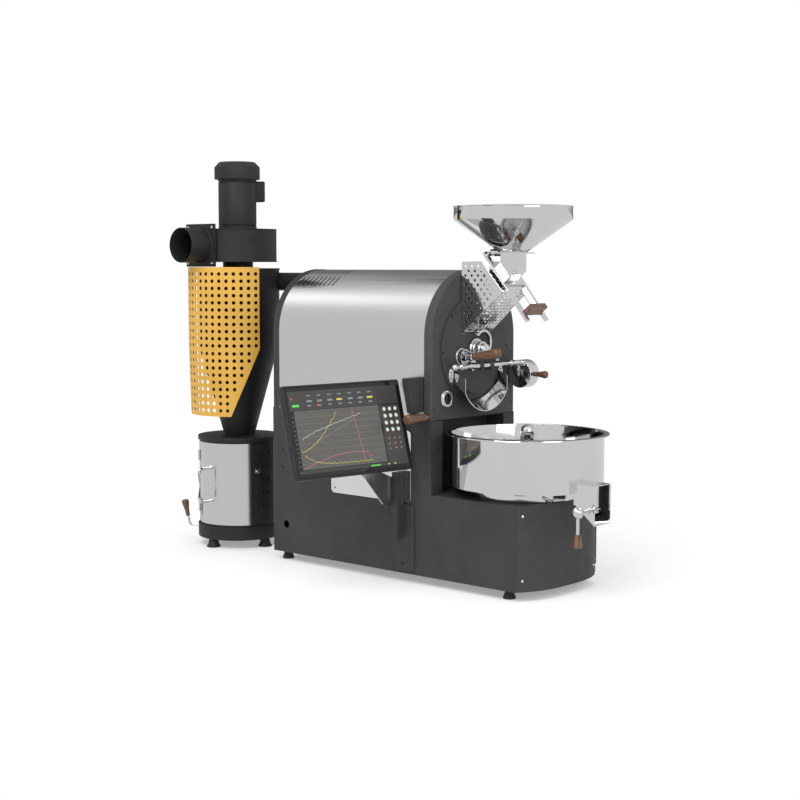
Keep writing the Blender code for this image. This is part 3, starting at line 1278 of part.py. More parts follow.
def flange_holes(low, high):
    """The four corner holes of the fan outlet's flanges."""
    inset = 10 * MM
    hole = 3 * MM
    reach = OUTLET_HALF - inset
    return together([rod((low, OUTLET_BACK + y, OUTLET_HEIGHT + z), (high, OUTLET_BACK + y, OUTLET_HEIGHT + z), hole, PIN)
                     for y in (-reach, reach) for z in (-reach, reach)])


def fan_housing():
    """The exhaust fan's round housing on the cyclone, with its square outlet and flange."""
    flange = 3 * MM
    duct_y = (OUTLET_BACK - 45 * MM, OUTLET_BACK + 45 * MM)
    neck = FINDER_RADIUS + SHEET
    bottom = CYCLONE_TOP + FIT
    face = OUTLET_SIDE + flange
    axis = (CYCLONE.x, CYCLONE.y)
    shell = rod((*axis, FAN_BOTTOM), (*axis, FAN_TOP), FAN_RADIUS, FINE)
    duct = box((face + flange / 2, CYCLONE.x), duct_y, (FAN_BOTTOM, FAN_TOP))
    plate = box((face, face + flange), (OUTLET_BACK - OUTLET_HALF, OUTLET_BACK + OUTLET_HALF),
                (OUTLET_HEIGHT - OUTLET_HALF, OUTLET_HEIGHT + OUTLET_HALF))
    tube = rod((*axis, bottom), (*axis, FAN_BOTTOM + SHEET), neck, ROUND)
    hollow = rod((*axis, FAN_BOTTOM + SHEET), (*axis, FAN_TOP - SHEET), FAN_RADIUS - SHEET, FINE)
    channel = box((face - OVERRUN, CYCLONE.x), (duct_y[0] + SHEET, duct_y[1] - SHEET),
                  (FAN_BOTTOM + SHEET, FAN_TOP - SHEET))
    bore = rod((*axis, bottom - OVERRUN), (*axis, FAN_BOTTOM + 2 * SHEET), neck - SHEET, ROUND)
    shaft = rod((*axis, FAN_TOP - OVERRUN), (*axis, FAN_TOP + OVERRUN), FAN_SHAFT + 2 * FIT, SMALL)
    make("fan_housing", DARK_COAT, [shell, duct, plate, tube],
         [hollow, channel, bore, shaft, flange_holes(face - OVERRUN, face + flange + OVERRUN)])


def outlet_duct():
    """The round connecting stub on the fan outlet, welded to a square flange."""
    flange = 2.7 * MM
    end = -255.5 * MM
    tube = OUTLET_BORE + SHEET
    ends = ((end, OUTLET_BACK, OUTLET_HEIGHT), (OUTLET_SIDE + flange, OUTLET_BACK, OUTLET_HEIGHT))
    plate = box((OUTLET_SIDE, OUTLET_SIDE + flange), (OUTLET_BACK - OUTLET_HALF, OUTLET_BACK + OUTLET_HALF),
                (OUTLET_HEIGHT - OUTLET_HALF, OUTLET_HEIGHT + OUTLET_HALF))
    bore = rod((end - OVERRUN, OUTLET_BACK, OUTLET_HEIGHT), (OUTLET_SIDE + OVERRUN, OUTLET_BACK, OUTLET_HEIGHT),
               OUTLET_BORE, ROUND)
    make("outlet_duct", DARK_COAT, [rod(*ends, tube, ROUND), plate],
         [bore, flange_holes(OUTLET_SIDE - OVERRUN, OUTLET_SIDE + flange + OVERRUN)])


def fan_impeller():
    """The exhaust fan's wheel, hung from the motor's shaft."""
    radius = 90 * MM
    low, high = 850 * MM, 905 * MM
    hub = 16 * MM
    blades = 8
    inner = 40 * MM
    centre = CYCLONE
    shapes = [rod(centre + Vector((0, 0, high)), centre + Vector((0, 0, high + SHEET)), radius, ROUND),
              rod(centre + Vector((0, 0, low)), centre + Vector((0, 0, FAN_TOP)), FAN_SHAFT, PIN),
              rod(centre + Vector((0, 0, low + SHEET)), centre + Vector((0, 0, high + SHEET / 2)), hub, SMALL)]
    for angle in angles(blades):
        blade = box((inner, radius - SHEET), (-SHEET / 2, SHEET / 2), (low, high + SHEET / 2))
        shapes.append(moved(blade, Matrix.Translation(centre) @ Matrix.Rotation(angle, 4, "Z")))
    make("fan_impeller", PLAIN_STEEL, shapes, (), CYCLONE)


def fan_motor():
    """The exhaust fan's motor with its cowl and terminal box."""
    radius = 55.6 * MM
    cowl = 66.1 * MM
    cowl_bottom = 1071.4 * MM
    shoulder = 1110.7 * MM
    top = 1121.2 * MM
    chamfer = 8 * MM
    box_half = 20 * MM
    box_y = (CYCLONE.y - 79.6 * MM, CYCLONE.y - 50 * MM)
    box_z = (1007 * MM, 1067 * MM)
    profile = [(0, FAN_TOP + FIT), (radius, FAN_TOP + FIT), (radius, cowl_bottom), (cowl, cowl_bottom),
               (cowl, shoulder), (cowl - chamfer, top), (0, top)]
    make("fan_motor", DARK_COAT,
         [turned(profile, CYCLONE, FINE), box((CYCLONE.x - box_half, CYCLONE.x + box_half), box_y, box_z)])


# Chaff collector
DOOR_START = math.radians(148)
DOOR_END = math.radians(244)
SHELL_BOTTOM = 72.3 * MM
SHELL_TOP = 304.7 * MM
LEVER_ANGLE = math.radians(131.5)


def collector_drum():
    """The chaff collector's shell, with its door opening and a field of slanted louvre slots."""
    frame = 4 * MM
    steps = 14
    slot_length, slot_width = 15 * MM, 4 * MM
    slot_tilt = math.radians(35)
    columns = (249, 258, 267, 276)
    rows = 5
    row_pitch = 36.5 * MM
    first_row = 295 * MM
    profile = [(COLLECTOR_RADIUS, SHELL_BOTTOM), (COLLECTOR_RADIUS, SHELL_TOP),
               (COLLECTOR_RADIUS - THIN_SHEET, SHELL_TOP), (COLLECTOR_RADIUS - THIN_SHEET, SHELL_BOTTOM)]
    opening = sector(CYCLONE.xy, COLLECTOR_RADIUS + OVERRUN, COLLECTOR_RADIUS - OVERRUN, DOOR_START,
                     DOOR_END - DOOR_START, steps)
    cuts = []
    for row in range(rows):
        for column in columns[1:]:
            slot = box((COLLECTOR_RADIUS - OVERRUN, COLLECTOR_RADIUS + OVERRUN), (-slot_length / 2, slot_length / 2),
                       (-slot_width / 2, slot_width / 2))
            lean = Matrix.Rotation(math.radians(column), 4, "Z") @ Matrix.Rotation(slot_tilt, 4, "X")
            lift = Matrix.Translation(CYCLONE + Vector((0, 0, first_row - row_pitch * (row + 0.5))))
            cuts.append(moved(slot, lift @ lean))
    make("collector_drum", DARK_COAT, [turned(profile, CYCLONE, FINE)],
         [prism(opening, "Z", SHELL_BOTTOM + frame, SHELL_TOP - frame), together(cuts)])


def collector_door():
    """The curved stainless door of the collector, with its bent bar pull."""
    frame = 4 * MM
    steps = 14
    slack = math.radians(0.3)
    bar = 4.5 * MM
    low, high = 137 * MM, 234 * MM
    standoff = 40 * MM
    corner = 10 * MM
    hinge_gap = 3 * MM
    skin = sector(CYCLONE.xy, COLLECTOR_RADIUS, COLLECTOR_RADIUS - THIN_SHEET, DOOR_START + slack,
                  DOOR_END - DOOR_START - 2 * slack, steps)
    root = COLLECTOR_RADIUS - THIN_SHEET / 2
    far = COLLECTOR_RADIUS + standoff
    bend = [(root, low), (far - corner, low), (far, low + corner), (far, high - corner), (far - corner, high),
            (root, high)]
    path = [CYCLONE + Vector((-radius, 0, height)) for radius, height in bend]
    hinge = CYCLONE + Matrix.Rotation(DOOR_START, 3, "Z") @ Vector((COLLECTOR_RADIUS + hinge_gap, 0, 0))
    make("collector_door", SATIN_STEEL,
         [prism(skin, "Z", SHELL_BOTTOM + frame + FIT, SHELL_TOP - frame - FIT), swept(path, bar, PIN)], (), hinge)


FOOT_NECK = 13 * MM
FOOT_BOTTOM = 17 * MM


def collector_base():
    """The flat dark cup that the collector's shell stands on, with its four stub feet."""
    foot_reach = 106 * MM
    radius = 123.6 * MM
    ledge = COLLECTOR_RADIUS - 4 * MM
    top = SHELL_BOTTOM - FIT
    profile = [(0, FOOT_HEIGHT), (radius, FOOT_HEIGHT), (radius, top), (ledge, top), (ledge, top - SHEET),
               (radius - SHEET, top - SHEET), (radius - SHEET, FOOT_HEIGHT + SHEET), (0, FOOT_HEIGHT + SHEET)]
    hole = lever_rod(LEVER_ROD + FIT, LEVER_INNER, LEVER_OUTER, SMALL)
    feet = [rod(CYCLONE + Vector((foot_reach * math.cos(a), foot_reach * math.sin(a), 0)),
                CYCLONE + Vector((foot_reach * math.cos(a), foot_reach * math.sin(a), FOOT_HEIGHT + SHEET / 2)),
                FOOT_BOTTOM, SMALL, FOOT_NECK) for a in angles(4)]
    make("collector_base", DARK_COAT, [turned(profile, CYCLONE, FINE)] + feet, [hole])


LEVER_ROD = 3 * MM
LEVER_INNER = 104 * MM
LEVER_OUTER = 150 * MM
LEVER_HEIGHT = 50 * MM


def lever_rod(radius, start, end, steps=PIN):
    """A bar along the lever's radial axis."""
    along = Vector((math.cos(LEVER_ANGLE), math.sin(LEVER_ANGLE), 0))
    lift = CYCLONE + Vector((0, 0, LEVER_HEIGHT))
    return rod(lift + along * start, lift + along * end, radius, steps)


def collector_lever():
    """The cranked release lever in the collector's base, with a wooden grip."""
    cam = 11 * MM
    grip_start, grip_end = 78 * MM, 127 * MM
    lean = math.tan(math.radians(11))
    neck, bulb = 6 * MM, 10.5 * MM
    along = Vector((math.cos(LEVER_ANGLE), math.sin(LEVER_ANGLE), 0))
    elbow = CYCLONE + along * LEVER_OUTER + Vector((0, 0, LEVER_HEIGHT))
    up = Vector((0, 0, grip_start - LEVER_HEIGHT)) + along * lean * (grip_start - LEVER_HEIGHT)
    tip = Vector((0, 0, grip_end - LEVER_HEIGHT)) + along * lean * (grip_end - LEVER_HEIGHT)
    make("collector_lever", BRIGHT_STEEL,
         [lever_rod(LEVER_ROD, LEVER_INNER, LEVER_OUTER), lever_rod(cam, LEVER_INNER, LEVER_INNER + cam),
          rod(elbow - up * 0.1, elbow + up, LEVER_ROD, PIN)], (),
         CYCLONE + along * LEVER_OUTER + Vector((0, 0, LEVER_HEIGHT)))
    wood_grip("collector_grip", elbow + up + up.normalized() * FIT, elbow + tip, neck, bulb)


def rubber_feet():
    """The four flared rubber feet under the machine."""
    side = 141.8 * MM
    places = {"front": -229 * MM, "rear": 552.7 * MM}
    for end, y in places.items():
        for hand, x in (("left", -side), ("right", side)):
            make("foot_" + end + "_" + hand, RUBBER,
                 [rod((x, y, 0), (x, y, FOOT_HEIGHT - FIT), FOOT_BOTTOM, SMALL, FOOT_NECK)])


def centre_on_floor():
    """Move everything so that the assembly's box stands centred on the origin."""
    bpy.context.view_layer.update()
    corners = [piece.matrix_world @ Vector(corner) for piece in bpy.data.objects for corner in piece.bound_box]
    low = Vector([min(corner[axis] for corner in corners) for axis in range(3)])
    high = Vector([max(corner[axis] for corner in corners) for axis in range(3)])
    shift = Vector(((low.x + high.x) / 2, (low.y + high.y) / 2, low.z))
    for piece in bpy.data.objects:
        piece.location -= shift


for leftover in list(bpy.data.objects):
    bpy.data.objects.remove(leftover)

BUILDERS = (chassis, side_panels, base_front_panel, deck_panel, front_cover, rear_cover, stainless_cover,
            drum_housing, drum_front_plate, discharge_chute, discharge_door, door_counterweight, hinge_brackets,
            bearing_cap, trier, sight_port, damper, roasting_drum, drum_bearing, burner, drum_motor, hopper,
            gate_frame, slide_gate, feed_chute, chute_guard, cooling_tray, stirrer, stirrer_motor, tray_chute,
            tray_flap, screen, screen_arm, screen_foot, service_plate, exhaust_pipe, cyclone, cyclone_guard,
            fan_housing, outlet_duct, fan_impeller, fan_motor, collector_drum, collector_door, collector_base,
            collector_lever, rubber_feet)
for builder in BUILDERS:
    builder()
centre_on_floor()
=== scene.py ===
import math
import bmesh
import bpy
from mathutils import Matrix, Vector


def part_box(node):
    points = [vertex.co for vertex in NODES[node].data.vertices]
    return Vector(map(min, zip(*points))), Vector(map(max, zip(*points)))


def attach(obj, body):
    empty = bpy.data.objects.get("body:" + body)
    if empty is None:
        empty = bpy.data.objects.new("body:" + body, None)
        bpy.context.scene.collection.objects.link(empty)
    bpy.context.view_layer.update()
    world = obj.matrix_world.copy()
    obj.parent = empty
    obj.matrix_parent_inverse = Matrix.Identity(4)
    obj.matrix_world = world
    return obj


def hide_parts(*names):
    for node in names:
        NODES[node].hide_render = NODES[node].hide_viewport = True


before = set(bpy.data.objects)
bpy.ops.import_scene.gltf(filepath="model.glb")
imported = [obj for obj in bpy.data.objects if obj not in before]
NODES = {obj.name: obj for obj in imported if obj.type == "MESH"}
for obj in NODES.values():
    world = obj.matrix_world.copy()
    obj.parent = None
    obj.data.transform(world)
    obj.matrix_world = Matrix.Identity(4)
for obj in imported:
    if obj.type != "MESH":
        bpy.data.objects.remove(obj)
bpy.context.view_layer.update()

# The machine's own datum: mid-plane across, front plane of the front cover, floor.
chassis_low, chassis_high = (Vector(corner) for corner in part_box("chassis"))
cover_low = Vector(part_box("front_cover")[0])
ORIGIN = Vector(((chassis_low.x + chassis_high.x) / 2, cover_low.y, 0))

# Camera
# The camera stands left of the machine's front corner, slightly above its middle, as in the photograph.
camera_data = bpy.data.cameras.new("camera")
camera_data.sensor_width = 36
camera_data.lens = 67.457
camera_data.clip_end = 100
camera = bpy.data.objects.new("camera", camera_data)
bpy.context.scene.collection.objects.link(camera)
camera.location = Vector((-3.0561, -2.4499, 0.8204)) + ORIGIN
camera.rotation_euler = (math.radians(90 - 5.118), 0, math.radians(41.5507 - 90))
bpy.context.scene.camera = camera
bpy.context.scene.view_settings.view_transform = "Standard"

# Body covers
# Two arched covers of folded sheet in satin black powder coat, with rounded front edges.
# They hold the bent satin steel sheet between them, and small screws fix them to the body.
HALF = 0.1725
SPRING = 0.6382
COVER_FOOT = 0.428
COVER_SHEET = 0.0018
FRONT_BAND = 0.0242
REAR_FACE, REAR_BAND = 0.579, 0.555
ARCH_FRONT, ARCH_BACK, ARCH_SHEET = 0.0246, 0.5546, 0.0015


def angles(count, start=0.0, span=math.tau):
    """Evenly spaced angles; the end of a full turn is left out."""
    steps = count if abs(span - math.tau) < 1e-6 else count - 1
    return [start + span * index / steps for index in range(count)]


def arch(inset, y, steps=64):
    """The arch outline, set in by a distance, at one depth."""
    radius = HALF - inset
    points = [(-radius, y, COVER_FOOT), (radius, y, COVER_FOOT)]
    return points[1:] + [(radius * math.cos(a), y, SPRING + radius * math.sin(a))
                         for a in angles(steps + 1, 0, math.pi)] + points[:1]


def arched_cover(front, back, face_out, holes):
    """An arched pan: its band runs from back to front, its edge is rounded, and its face has holes."""
    fillet = 0.005
    sign = 1 if front > back else -1
    rings = [arch(0, back)]
    for step in range(6):
        turn = math.pi / 2 * step / 5
        rings.append(arch(fillet * (1 - math.cos(turn)), front - sign * fillet * (1 - math.sin(turn))))
    shape = bmesh.new()
    made = [[shape.verts.new(point) for point in outline] for outline in rings]
    for first, second in zip(made, made[1:]):
        for index in range(len(first) - 1):
            shape.faces.new((first[index], first[index + 1], second[index + 1], second[index]))
    last = made[-1]
    edges = [shape.edges.get((a, b)) or shape.edges.new((a, b)) for a, b in zip(last, last[1:] + last[:1])]
    for hole in holes:
        points = [shape.verts.new((x, front, z)) for x, z in hole]
        edges += [shape.edges.new((a, b)) for a, b in zip(points, points[1:] + points[:1])]
    bmesh.ops.triangle_fill(shape, use_beauty=True, use_dissolve=False, edges=edges)
    bmesh.ops.recalc_face_normals(shape, faces=shape.faces[:])
    outward = [face for face in shape.faces if abs(face.normal.y) > 0.99]
    if outward and outward[0].normal.y * face_out < 0:
        bmesh.ops.reverse_faces(shape, faces=shape.faces[:])
    inner = bmesh.ops.extrude_face_region(shape, geom=shape.faces[:], use_keep_orig=True)
    for vertex in [item for item in inner["geom"] if isinstance(item, bmesh.types.BMVert)]:
        middle = Vector((0, 0, SPRING)) if vertex.co.z > SPRING else Vector((0, 0, vertex.co.z))
        arm = Vector((vertex.co.x, 0, vertex.co.z)) - middle
        if arm.length > HALF - 0.012:
            vertex.co -= arm.normalized() * COVER_SHEET
        lowest = min(front, back) + COVER_SHEET * (sign < 0)
        highest = max(front, back) - COVER_SHEET * (sign > 0)
        vertex.co.y = min(max(vertex.co.y, lowest), highest)
    bmesh.ops.recalc_face_normals(shape, faces=shape.faces[:])
    return shape


SIGHT = (-0.1145, 0.4805)


class Value:
    """A shader value, so that material maths reads as plain Python."""

    def __init__(self, tree, socket):
        self.tree, self.socket = tree, socket

    def math(self, operation, *others):
        node = shader_node(self.tree, "Math", dict(enumerate((self, *others))))
        node.operation = operation
        return Value(self.tree, node.outputs[0])

    def __add__(self, other):
        return self.math("ADD", other)

    def __sub__(self, other):
        return self.math("SUBTRACT", other)

    def __mul__(self, other):
        return self.math("MULTIPLY", other)

    def __rsub__(self, other):
        return self * -1 + other

    __radd__ = __add__
    __rmul__ = __mul__

    def __gt__(self, other):
        return self.math("GREATER_THAN", other)

    def __lt__(self, other):
        return self.math("LESS_THAN", other)

    def mod(self, step):
        return self.math("FLOORED_MODULO", step)

    def ramp(self, low, high, out_low=0.0, out_high=1.0):
        node = shader_node(self.tree, "MapRange", {"Value": self, "From Min": low, "From Max": high,
                                                   "To Min": out_low, "To Max": out_high})
        return Value(self.tree, node.outputs["Result"])


def shader_node(tree, kind, inputs=None):
    """A node of any kind, its inputs set to plain values or linked to other nodes."""
    node = tree.nodes.new("ShaderNode" + kind)
    for slot, value in (inputs or {}).items():
        if isinstance(value, Value):
            tree.links.new(value.socket, node.inputs[slot])
        elif isinstance(value, bpy.types.NodeSocket):
            tree.links.new(value, node.inputs[slot])
        else:
            node.inputs[slot].default_value = value
    return node


def coordinates(tree, scale=(1, 1, 1)):
    """Object coordinates, in metres, stretched by a scale."""
    source = shader_node(tree, "TexCoord")
    mapping = shader_node(tree, "Mapping", {"Scale": scale, "Vector": source.outputs["Object"]})
    return mapping.outputs["Vector"]


def noise(tree, scale, detail=2.0, stretch=(1, 1, 1)):
    """Noise over object coordinates, from 0 to 1."""
    node = shader_node(tree, "TexNoise", {"Scale": scale, "Detail": detail,
                                          "Vector": coordinates(tree, stretch)})
    return Value(tree, node.outputs["Fac"])


def blend_colours(tree, factor, first, second):
    """A colour between two others."""
    node = tree.nodes.new("ShaderNodeMix")
    node.data_type = "RGBA"
    tree.links.new(factor.socket, node.inputs["Factor"])
    for slot, colour in ((node.inputs[6], first), (node.inputs[7], second)):
        if isinstance(colour, tuple):
            slot.default_value = (*colour, 1)
        else:
            tree.links.new(colour, slot)
    return node.outputs[2]


def bump(tree, shader, height, strength, distance):
    """Raise the surface by a height value."""
    node = shader_node(tree, "Bump", {"Strength": strength, "Distance": distance, "Height": height})
    tree.links.new(node.outputs["Normal"], shader.inputs["Normal"])


def base(name):
    """A new material, its node tree and its shader."""
    material = bpy.data.materials.new(name)
    material.use_nodes = True
    return material, material.node_tree, material.node_tree.nodes["Principled BSDF"]


# Powder coat: a fine pebbled paint with slightly uneven gloss and faintly lighter dust.
def powder_coat(name, colour, roughness):
    material, tree, shader = base(name)
    patches = noise(tree, 7, 3)
    pale = tuple(min(1, part * 1.22 + 0.004) for part in colour)
    tree.links.new(blend_colours(tree, patches.ramp(0.35, 0.75), colour, pale), shader.inputs["Base Color"])
    tree.links.new(noise(tree, 30, 2).ramp(0.3, 0.7, roughness - 0.06, roughness + 0.06).socket,
                   shader.inputs["Roughness"])
    shader.inputs["Specular IOR Level"].default_value = 0.3
    bump(tree, shader, noise(tree, 1300, 1), 0.18, 0.00025)
    return material


# Painted light: the front cover has the same satin black coat as the rear cover, coloured a little lighter to
# make up for the shade that falls on it.
FRONT_COAT_PAINTED_LIGHTER = powder_coat("front_cover_coat_painted_lighter", (0.050, 0.050, 0.051), 0.58)


def ring(centre, radius, count, start=0.0):
    """A closed flat outline."""
    return [(centre[0] + radius * math.cos(a), centre[1] + radius * math.sin(a))
            for a in angles(count, start)]


# Every shape is a bmesh in the machine's own datum, until it is made into a piece.
def piece(name, shape, material, body, replaces=(), bevel=0.0, angle=30):
    """An object from a shape: moved to the row frame, smooth where it is round, riding on its body."""
    mesh = bpy.data.meshes.new(name)
    shape.to_mesh(mesh)
    shape.free()
    mesh.transform(Matrix.Translation(ORIGIN))
    mesh.materials.append(material)
    mesh.shade_smooth()
    mesh.set_sharp_from_angle(angle=math.radians(angle))
    made = bpy.data.objects.new(name, mesh)
    bpy.context.scene.collection.objects.link(made)
    if bevel:
        rounding = made.modifiers.new("rounding", "BEVEL")
        rounding.width = bevel
        rounding.segments = 2
        rounding.limit_method = "ANGLE"
        rounding.angle_limit = math.radians(50)
        rounding.harden_normals = True
    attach(made, body)
    if replaces:
        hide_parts(*replaces)
    return made


# The front cover wears the coat painted lighter against the shade on it.
piece("front_cover_skin", arched_cover(0.0, FRONT_BAND, -1,
                                       [ring((0, 0.6035), 0.1205, 96), ring(SIGHT, 0.014, 32)]),
      FRONT_COAT_PAINTED_LIGHTER, "machine", ["front_cover"])
rear_skin = arched_cover(REAR_FACE, REAR_BAND, 1, [ring((0.029, 0.774), 0.0268, 48)])
COAT = powder_coat("machine_coat", (0.037, 0.037, 0.0375), 0.58)


def box(low, high):
    """A box between two corners."""
    low, high = Vector(low), Vector(high)
    shape = bmesh.new()
    bmesh.ops.create_cube(shape, size=1)
    bmesh.ops.scale(shape, vec=high - low, verts=shape.verts[:])
    bmesh.ops.translate(shape, vec=(low + high) / 2, verts=shape.verts[:])
    return shape


def joined(*shapes):
    """Several shapes in one bmesh."""
    whole = bmesh.new()
    for shape in shapes:
        mesh = bpy.data.meshes.new("part")
        shape.to_mesh(mesh)
        whole.from_mesh(mesh)
        bpy.data.meshes.remove(mesh)
        shape.free()
    return whole


piece("rear_cover_skin", joined(rear_skin, box((-0.1701, 0.577, 0.0243), (0.1701, 0.579, 0.4285))), COAT,
      "machine", ["rear_cover"])

# The satin arch: one bent sheet, with four rows of vent slots round the rear of its crown.
stainless = bmesh.new()
slot_loops = []
arc_radius = HALF - 0.001
straight_run = SPRING - COVER_FOOT
half_length = straight_run + arc_radius * math.pi / 2


def slot_outline(centre, half_length, half_width, turn=0.0, steps=6):
    """A slot with round ends."""
    points = []
    straight = half_length - half_width
    for side in (1, -1):
        for index in range(steps + 1):
            a = -math.pi / 2 + math.pi * index / steps
            x, y = side * (straight + half_width * math.cos(a)), side * half_width * math.sin(a)
            points.append((centre[0] + x * math.cos(turn) - y * math.sin(turn),
                           centre[1] + x * math.sin(turn) + y * math.cos(turn)))
    return points


for side in (1, -1):
    for centre_angle, reach in ((35, 0.0205), (15, 0.0178)):
        for index in range(9):
            slot_loops.append(slot_outline((side * arc_radius * math.radians(centre_angle), 0.405
                                            + index * 0.0165),
                                           reach, 0.0022))
loops = []
edges = []
count = 96
bottom = [(-half_length + 2 * half_length * index / count, ARCH_FRONT) for index in range(count + 1)]
top = [(x, ARCH_BACK) for x, _ in bottom[::-1]]
for loop in [bottom + top] + slot_loops:
    points = [stainless.verts.new((x, y, 0)) for x, y in loop]
    edges += [stainless.edges.new((a, b)) for a, b in zip(points, points[1:] + points[:1])]
bmesh.ops.triangle_fill(stainless, use_beauty=True, use_dissolve=False, edges=edges)
for x in [bottom[index][0] for index in range(1, count)]:
    geometry = stainless.verts[:] + stainless.edges[:] + stainless.faces[:]
    bmesh.ops.bisect_plane(stainless, geom=geometry, plane_co=(x, 0, 0), plane_no=(1, 0, 0))
made = bmesh.ops.extrude_face_region(stainless, geom=stainless.faces[:], use_keep_orig=True)
for item in made["geom"]:
    if isinstance(item, bmesh.types.BMVert):
        item.co.z = -ARCH_SHEET
for vertex in stainless.verts:
    x, depth = vertex.co.x, vertex.co.z
    radius = arc_radius + depth
    run = arc_radius * math.pi / 2
    if abs(x) <= run:
        turn = x / arc_radius
        vertex.co = Vector((radius * math.sin(turn), vertex.co.y, SPRING + radius * math.cos(turn)))
    else:
        side = math.copysign(1, x)
        vertex.co = Vector((side * radius, vertex.co.y, SPRING - (abs(x) - run)))
bmesh.ops.recalc_face_normals(stainless, faces=stainless.faces[:])


# Brushed stainless: long fine scratches along one direction, uneven in gloss.
def brushed(name, colour, roughness, stretch, contrast=0.05):
    material, tree, shader = base(name)
    shader.inputs["Metallic"].default_value = 1
    lines = noise(tree, 1, 3, stretch)
    dull = tuple(part * (1 - contrast) for part in colour)
    tree.links.new(blend_colours(tree, lines.ramp(0.35, 0.65), dull, colour), shader.inputs["Base Color"])
    tree.links.new(lines.ramp(0.3, 0.7, roughness * 0.85, roughness * 1.15).socket,
                   shader.inputs["Roughness"])
    bump(tree, shader, lines, 0.06, 0.0001)
    return material


SATIN = brushed("satin_cover", (0.66, 0.66, 0.665), 0.19, (60, 2.0, 900), 0.012)
piece("stainless_arch", stainless, SATIN, "machine", ["stainless_cover"], angle=40)

# Base and panels
# The chassis, the side panels and the deck are flat painted sheets and keep their solids.
# Their edges are broken a little, as folded sheet is; the bowed front sheet and the feet are dressed.


def dress(name, material, bevel=0.0):
    """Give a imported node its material, and soft edges where it has a bevel."""
    node = NODES[name]
    node.data.materials.clear()
    node.data.materials.append(material)
    if bevel:
        rounding = node.modifiers.new("rounding", "BEVEL")
        rounding.width = bevel
        rounding.segments = 2
        rounding.limit_method = "ANGLE"
        rounding.angle_limit = math.radians(50)


for name in ("side_panel_left", "side_panel_right", "deck_panel"):
    dress(name, COAT, 0.0006)
# Painted shade: a near black that stands for the shade inside the body, in the gap under the tray, in the
# tray chute, and in the display's vents and the cowl's slots; the chassis takes it as the dark inside of the
# body.
SHADE_BLACK = powder_coat("painted_shade_black", (0.010, 0.010, 0.010), 0.7)
dress("chassis", SHADE_BLACK)
dress("screen_foot", COAT, 0.001)

# The bowed front sheet of the base, finely stepped so that it shades as one curve.
bow_half = HALF - 0.0023
BOW_ENDS, BOW_DEPTH = 0.270, 0.043


def bow_line(x):
    """Where the bowed front sheet stands at a place across the machine."""
    return -BOW_ENDS - BOW_DEPTH * (1 - (abs(x) / bow_half) ** 3)


def bow(setback, steps=60):
    """The front sheet's curve, set back by a distance."""
    xs = [-bow_half + 2 * bow_half * index / steps for index in range(steps + 1)]
    return [(x, setback + bow_line(x)) for x in xs]


def moved(shape, matrix):
    """The same shape, moved and turned."""
    bmesh.ops.transform(shape, matrix=matrix, verts=shape.verts[:])
    return shape


def sheet(outline, holes, thickness, place):
    """A flat plate with holes: drawn in two directions, then given its thickness along the third."""
    shape = bmesh.new()
    edges = []
    for loop in [outline] + list(holes):
        points = [shape.verts.new((x, y, 0)) for x, y in loop]
        edges += [shape.edges.new((a, b)) for a, b in zip(points, points[1:] + points[:1])]
    bmesh.ops.triangle_fill(shape, use_beauty=True, use_dissolve=False, edges=edges)
    made = bmesh.ops.extrude_face_region(shape, geom=shape.faces[:], use_keep_orig=True)
    for item in made["geom"]:
        if isinstance(item, bmesh.types.BMVert):
            item.co.z += thickness
    bmesh.ops.recalc_face_normals(shape, faces=shape.faces[:])
    return moved(shape, place)


def along(axis, offset):
    """The placing of a sheet: its drawing plane and the axis of its thickness."""
    columns = {"X": ((0, 1, 0), (0, 0, 1), (1, 0, 0)), "Y": ((1, 0, 0), (0, 0, 1), (0, -1, 0)),
               "Z": ((1, 0, 0), (0, 1, 0), (0, 0, 1))}[axis]
    turn = Matrix(columns).transposed().to_4x4()
    return Matrix.Translation(offset) @ turn


piece("base_front_skin", sheet(bow(0) + bow(0.002)[::-1], [], 0.2133, along("Z", (0, 0, 0.0241))), COAT,
      "machine", ["base_front_panel"], angle=40)

# Rubber feet: a waisted cone with a flat flange, and a short metal stud above.
foot_profile = [(0, 0), (0.0162, 0), (0.0166, 0.003), (0.0135, 0.010), (0.0115, 0.018),
                (0.0125, 0.0236), (0, 0.0236)]


# Rubber: dull, with a fine mottled skin.
def rubber_skin(name):
    material, tree, shader = base(name)
    tree.links.new(blend_colours(tree, noise(tree, 60, 3), (0.012, 0.012, 0.012), (0.03, 0.03, 0.03)),
                   shader.inputs["Base Color"])
    shader.inputs["Roughness"].default_value = 0.75
    bump(tree, shader, noise(tree, 700, 2), 0.25, 0.0003)
    return material


RUBBER = rubber_skin("rubber_foot")


def turned(profile, centre=(0, 0, 0), axis="Z", steps=96, closed=True):
    """A profile of (radius, height) points turned about an axis."""
    turns = {"X": Matrix.Rotation(math.pi / 2, 4, "Y"), "Y": Matrix.Rotation(-math.pi / 2, 4, "X"),
             "Z": Matrix.Identity(4)}
    place = Matrix.Translation(centre) @ turns[axis]
    shape = bmesh.new()
    rings = []
    for radius, height in profile:
        if radius < 1e-6:
            rings.append([shape.verts.new(place @ Vector((0, 0, height)))] * steps)
        else:
            rings.append([shape.verts.new(place
                                          @ Vector((radius * math.cos(a), radius * math.sin(a), height)))
                          for a in angles(steps)])
    pairs = list(zip(rings, rings[1:] + rings[:1])) if closed else list(zip(rings, rings[1:]))
    for first, second in pairs:
        for index in range(steps):
            after = (index + 1) % steps
            corners = []
            for corner in (first[index], first[after], second[after], second[index]):
                if corner not in corners:
                    corners.append(corner)
            if len(corners) > 2:
                shape.faces.new(corners)
    bmesh.ops.recalc_face_normals(shape, faces=shape.faces[:])
    return shape


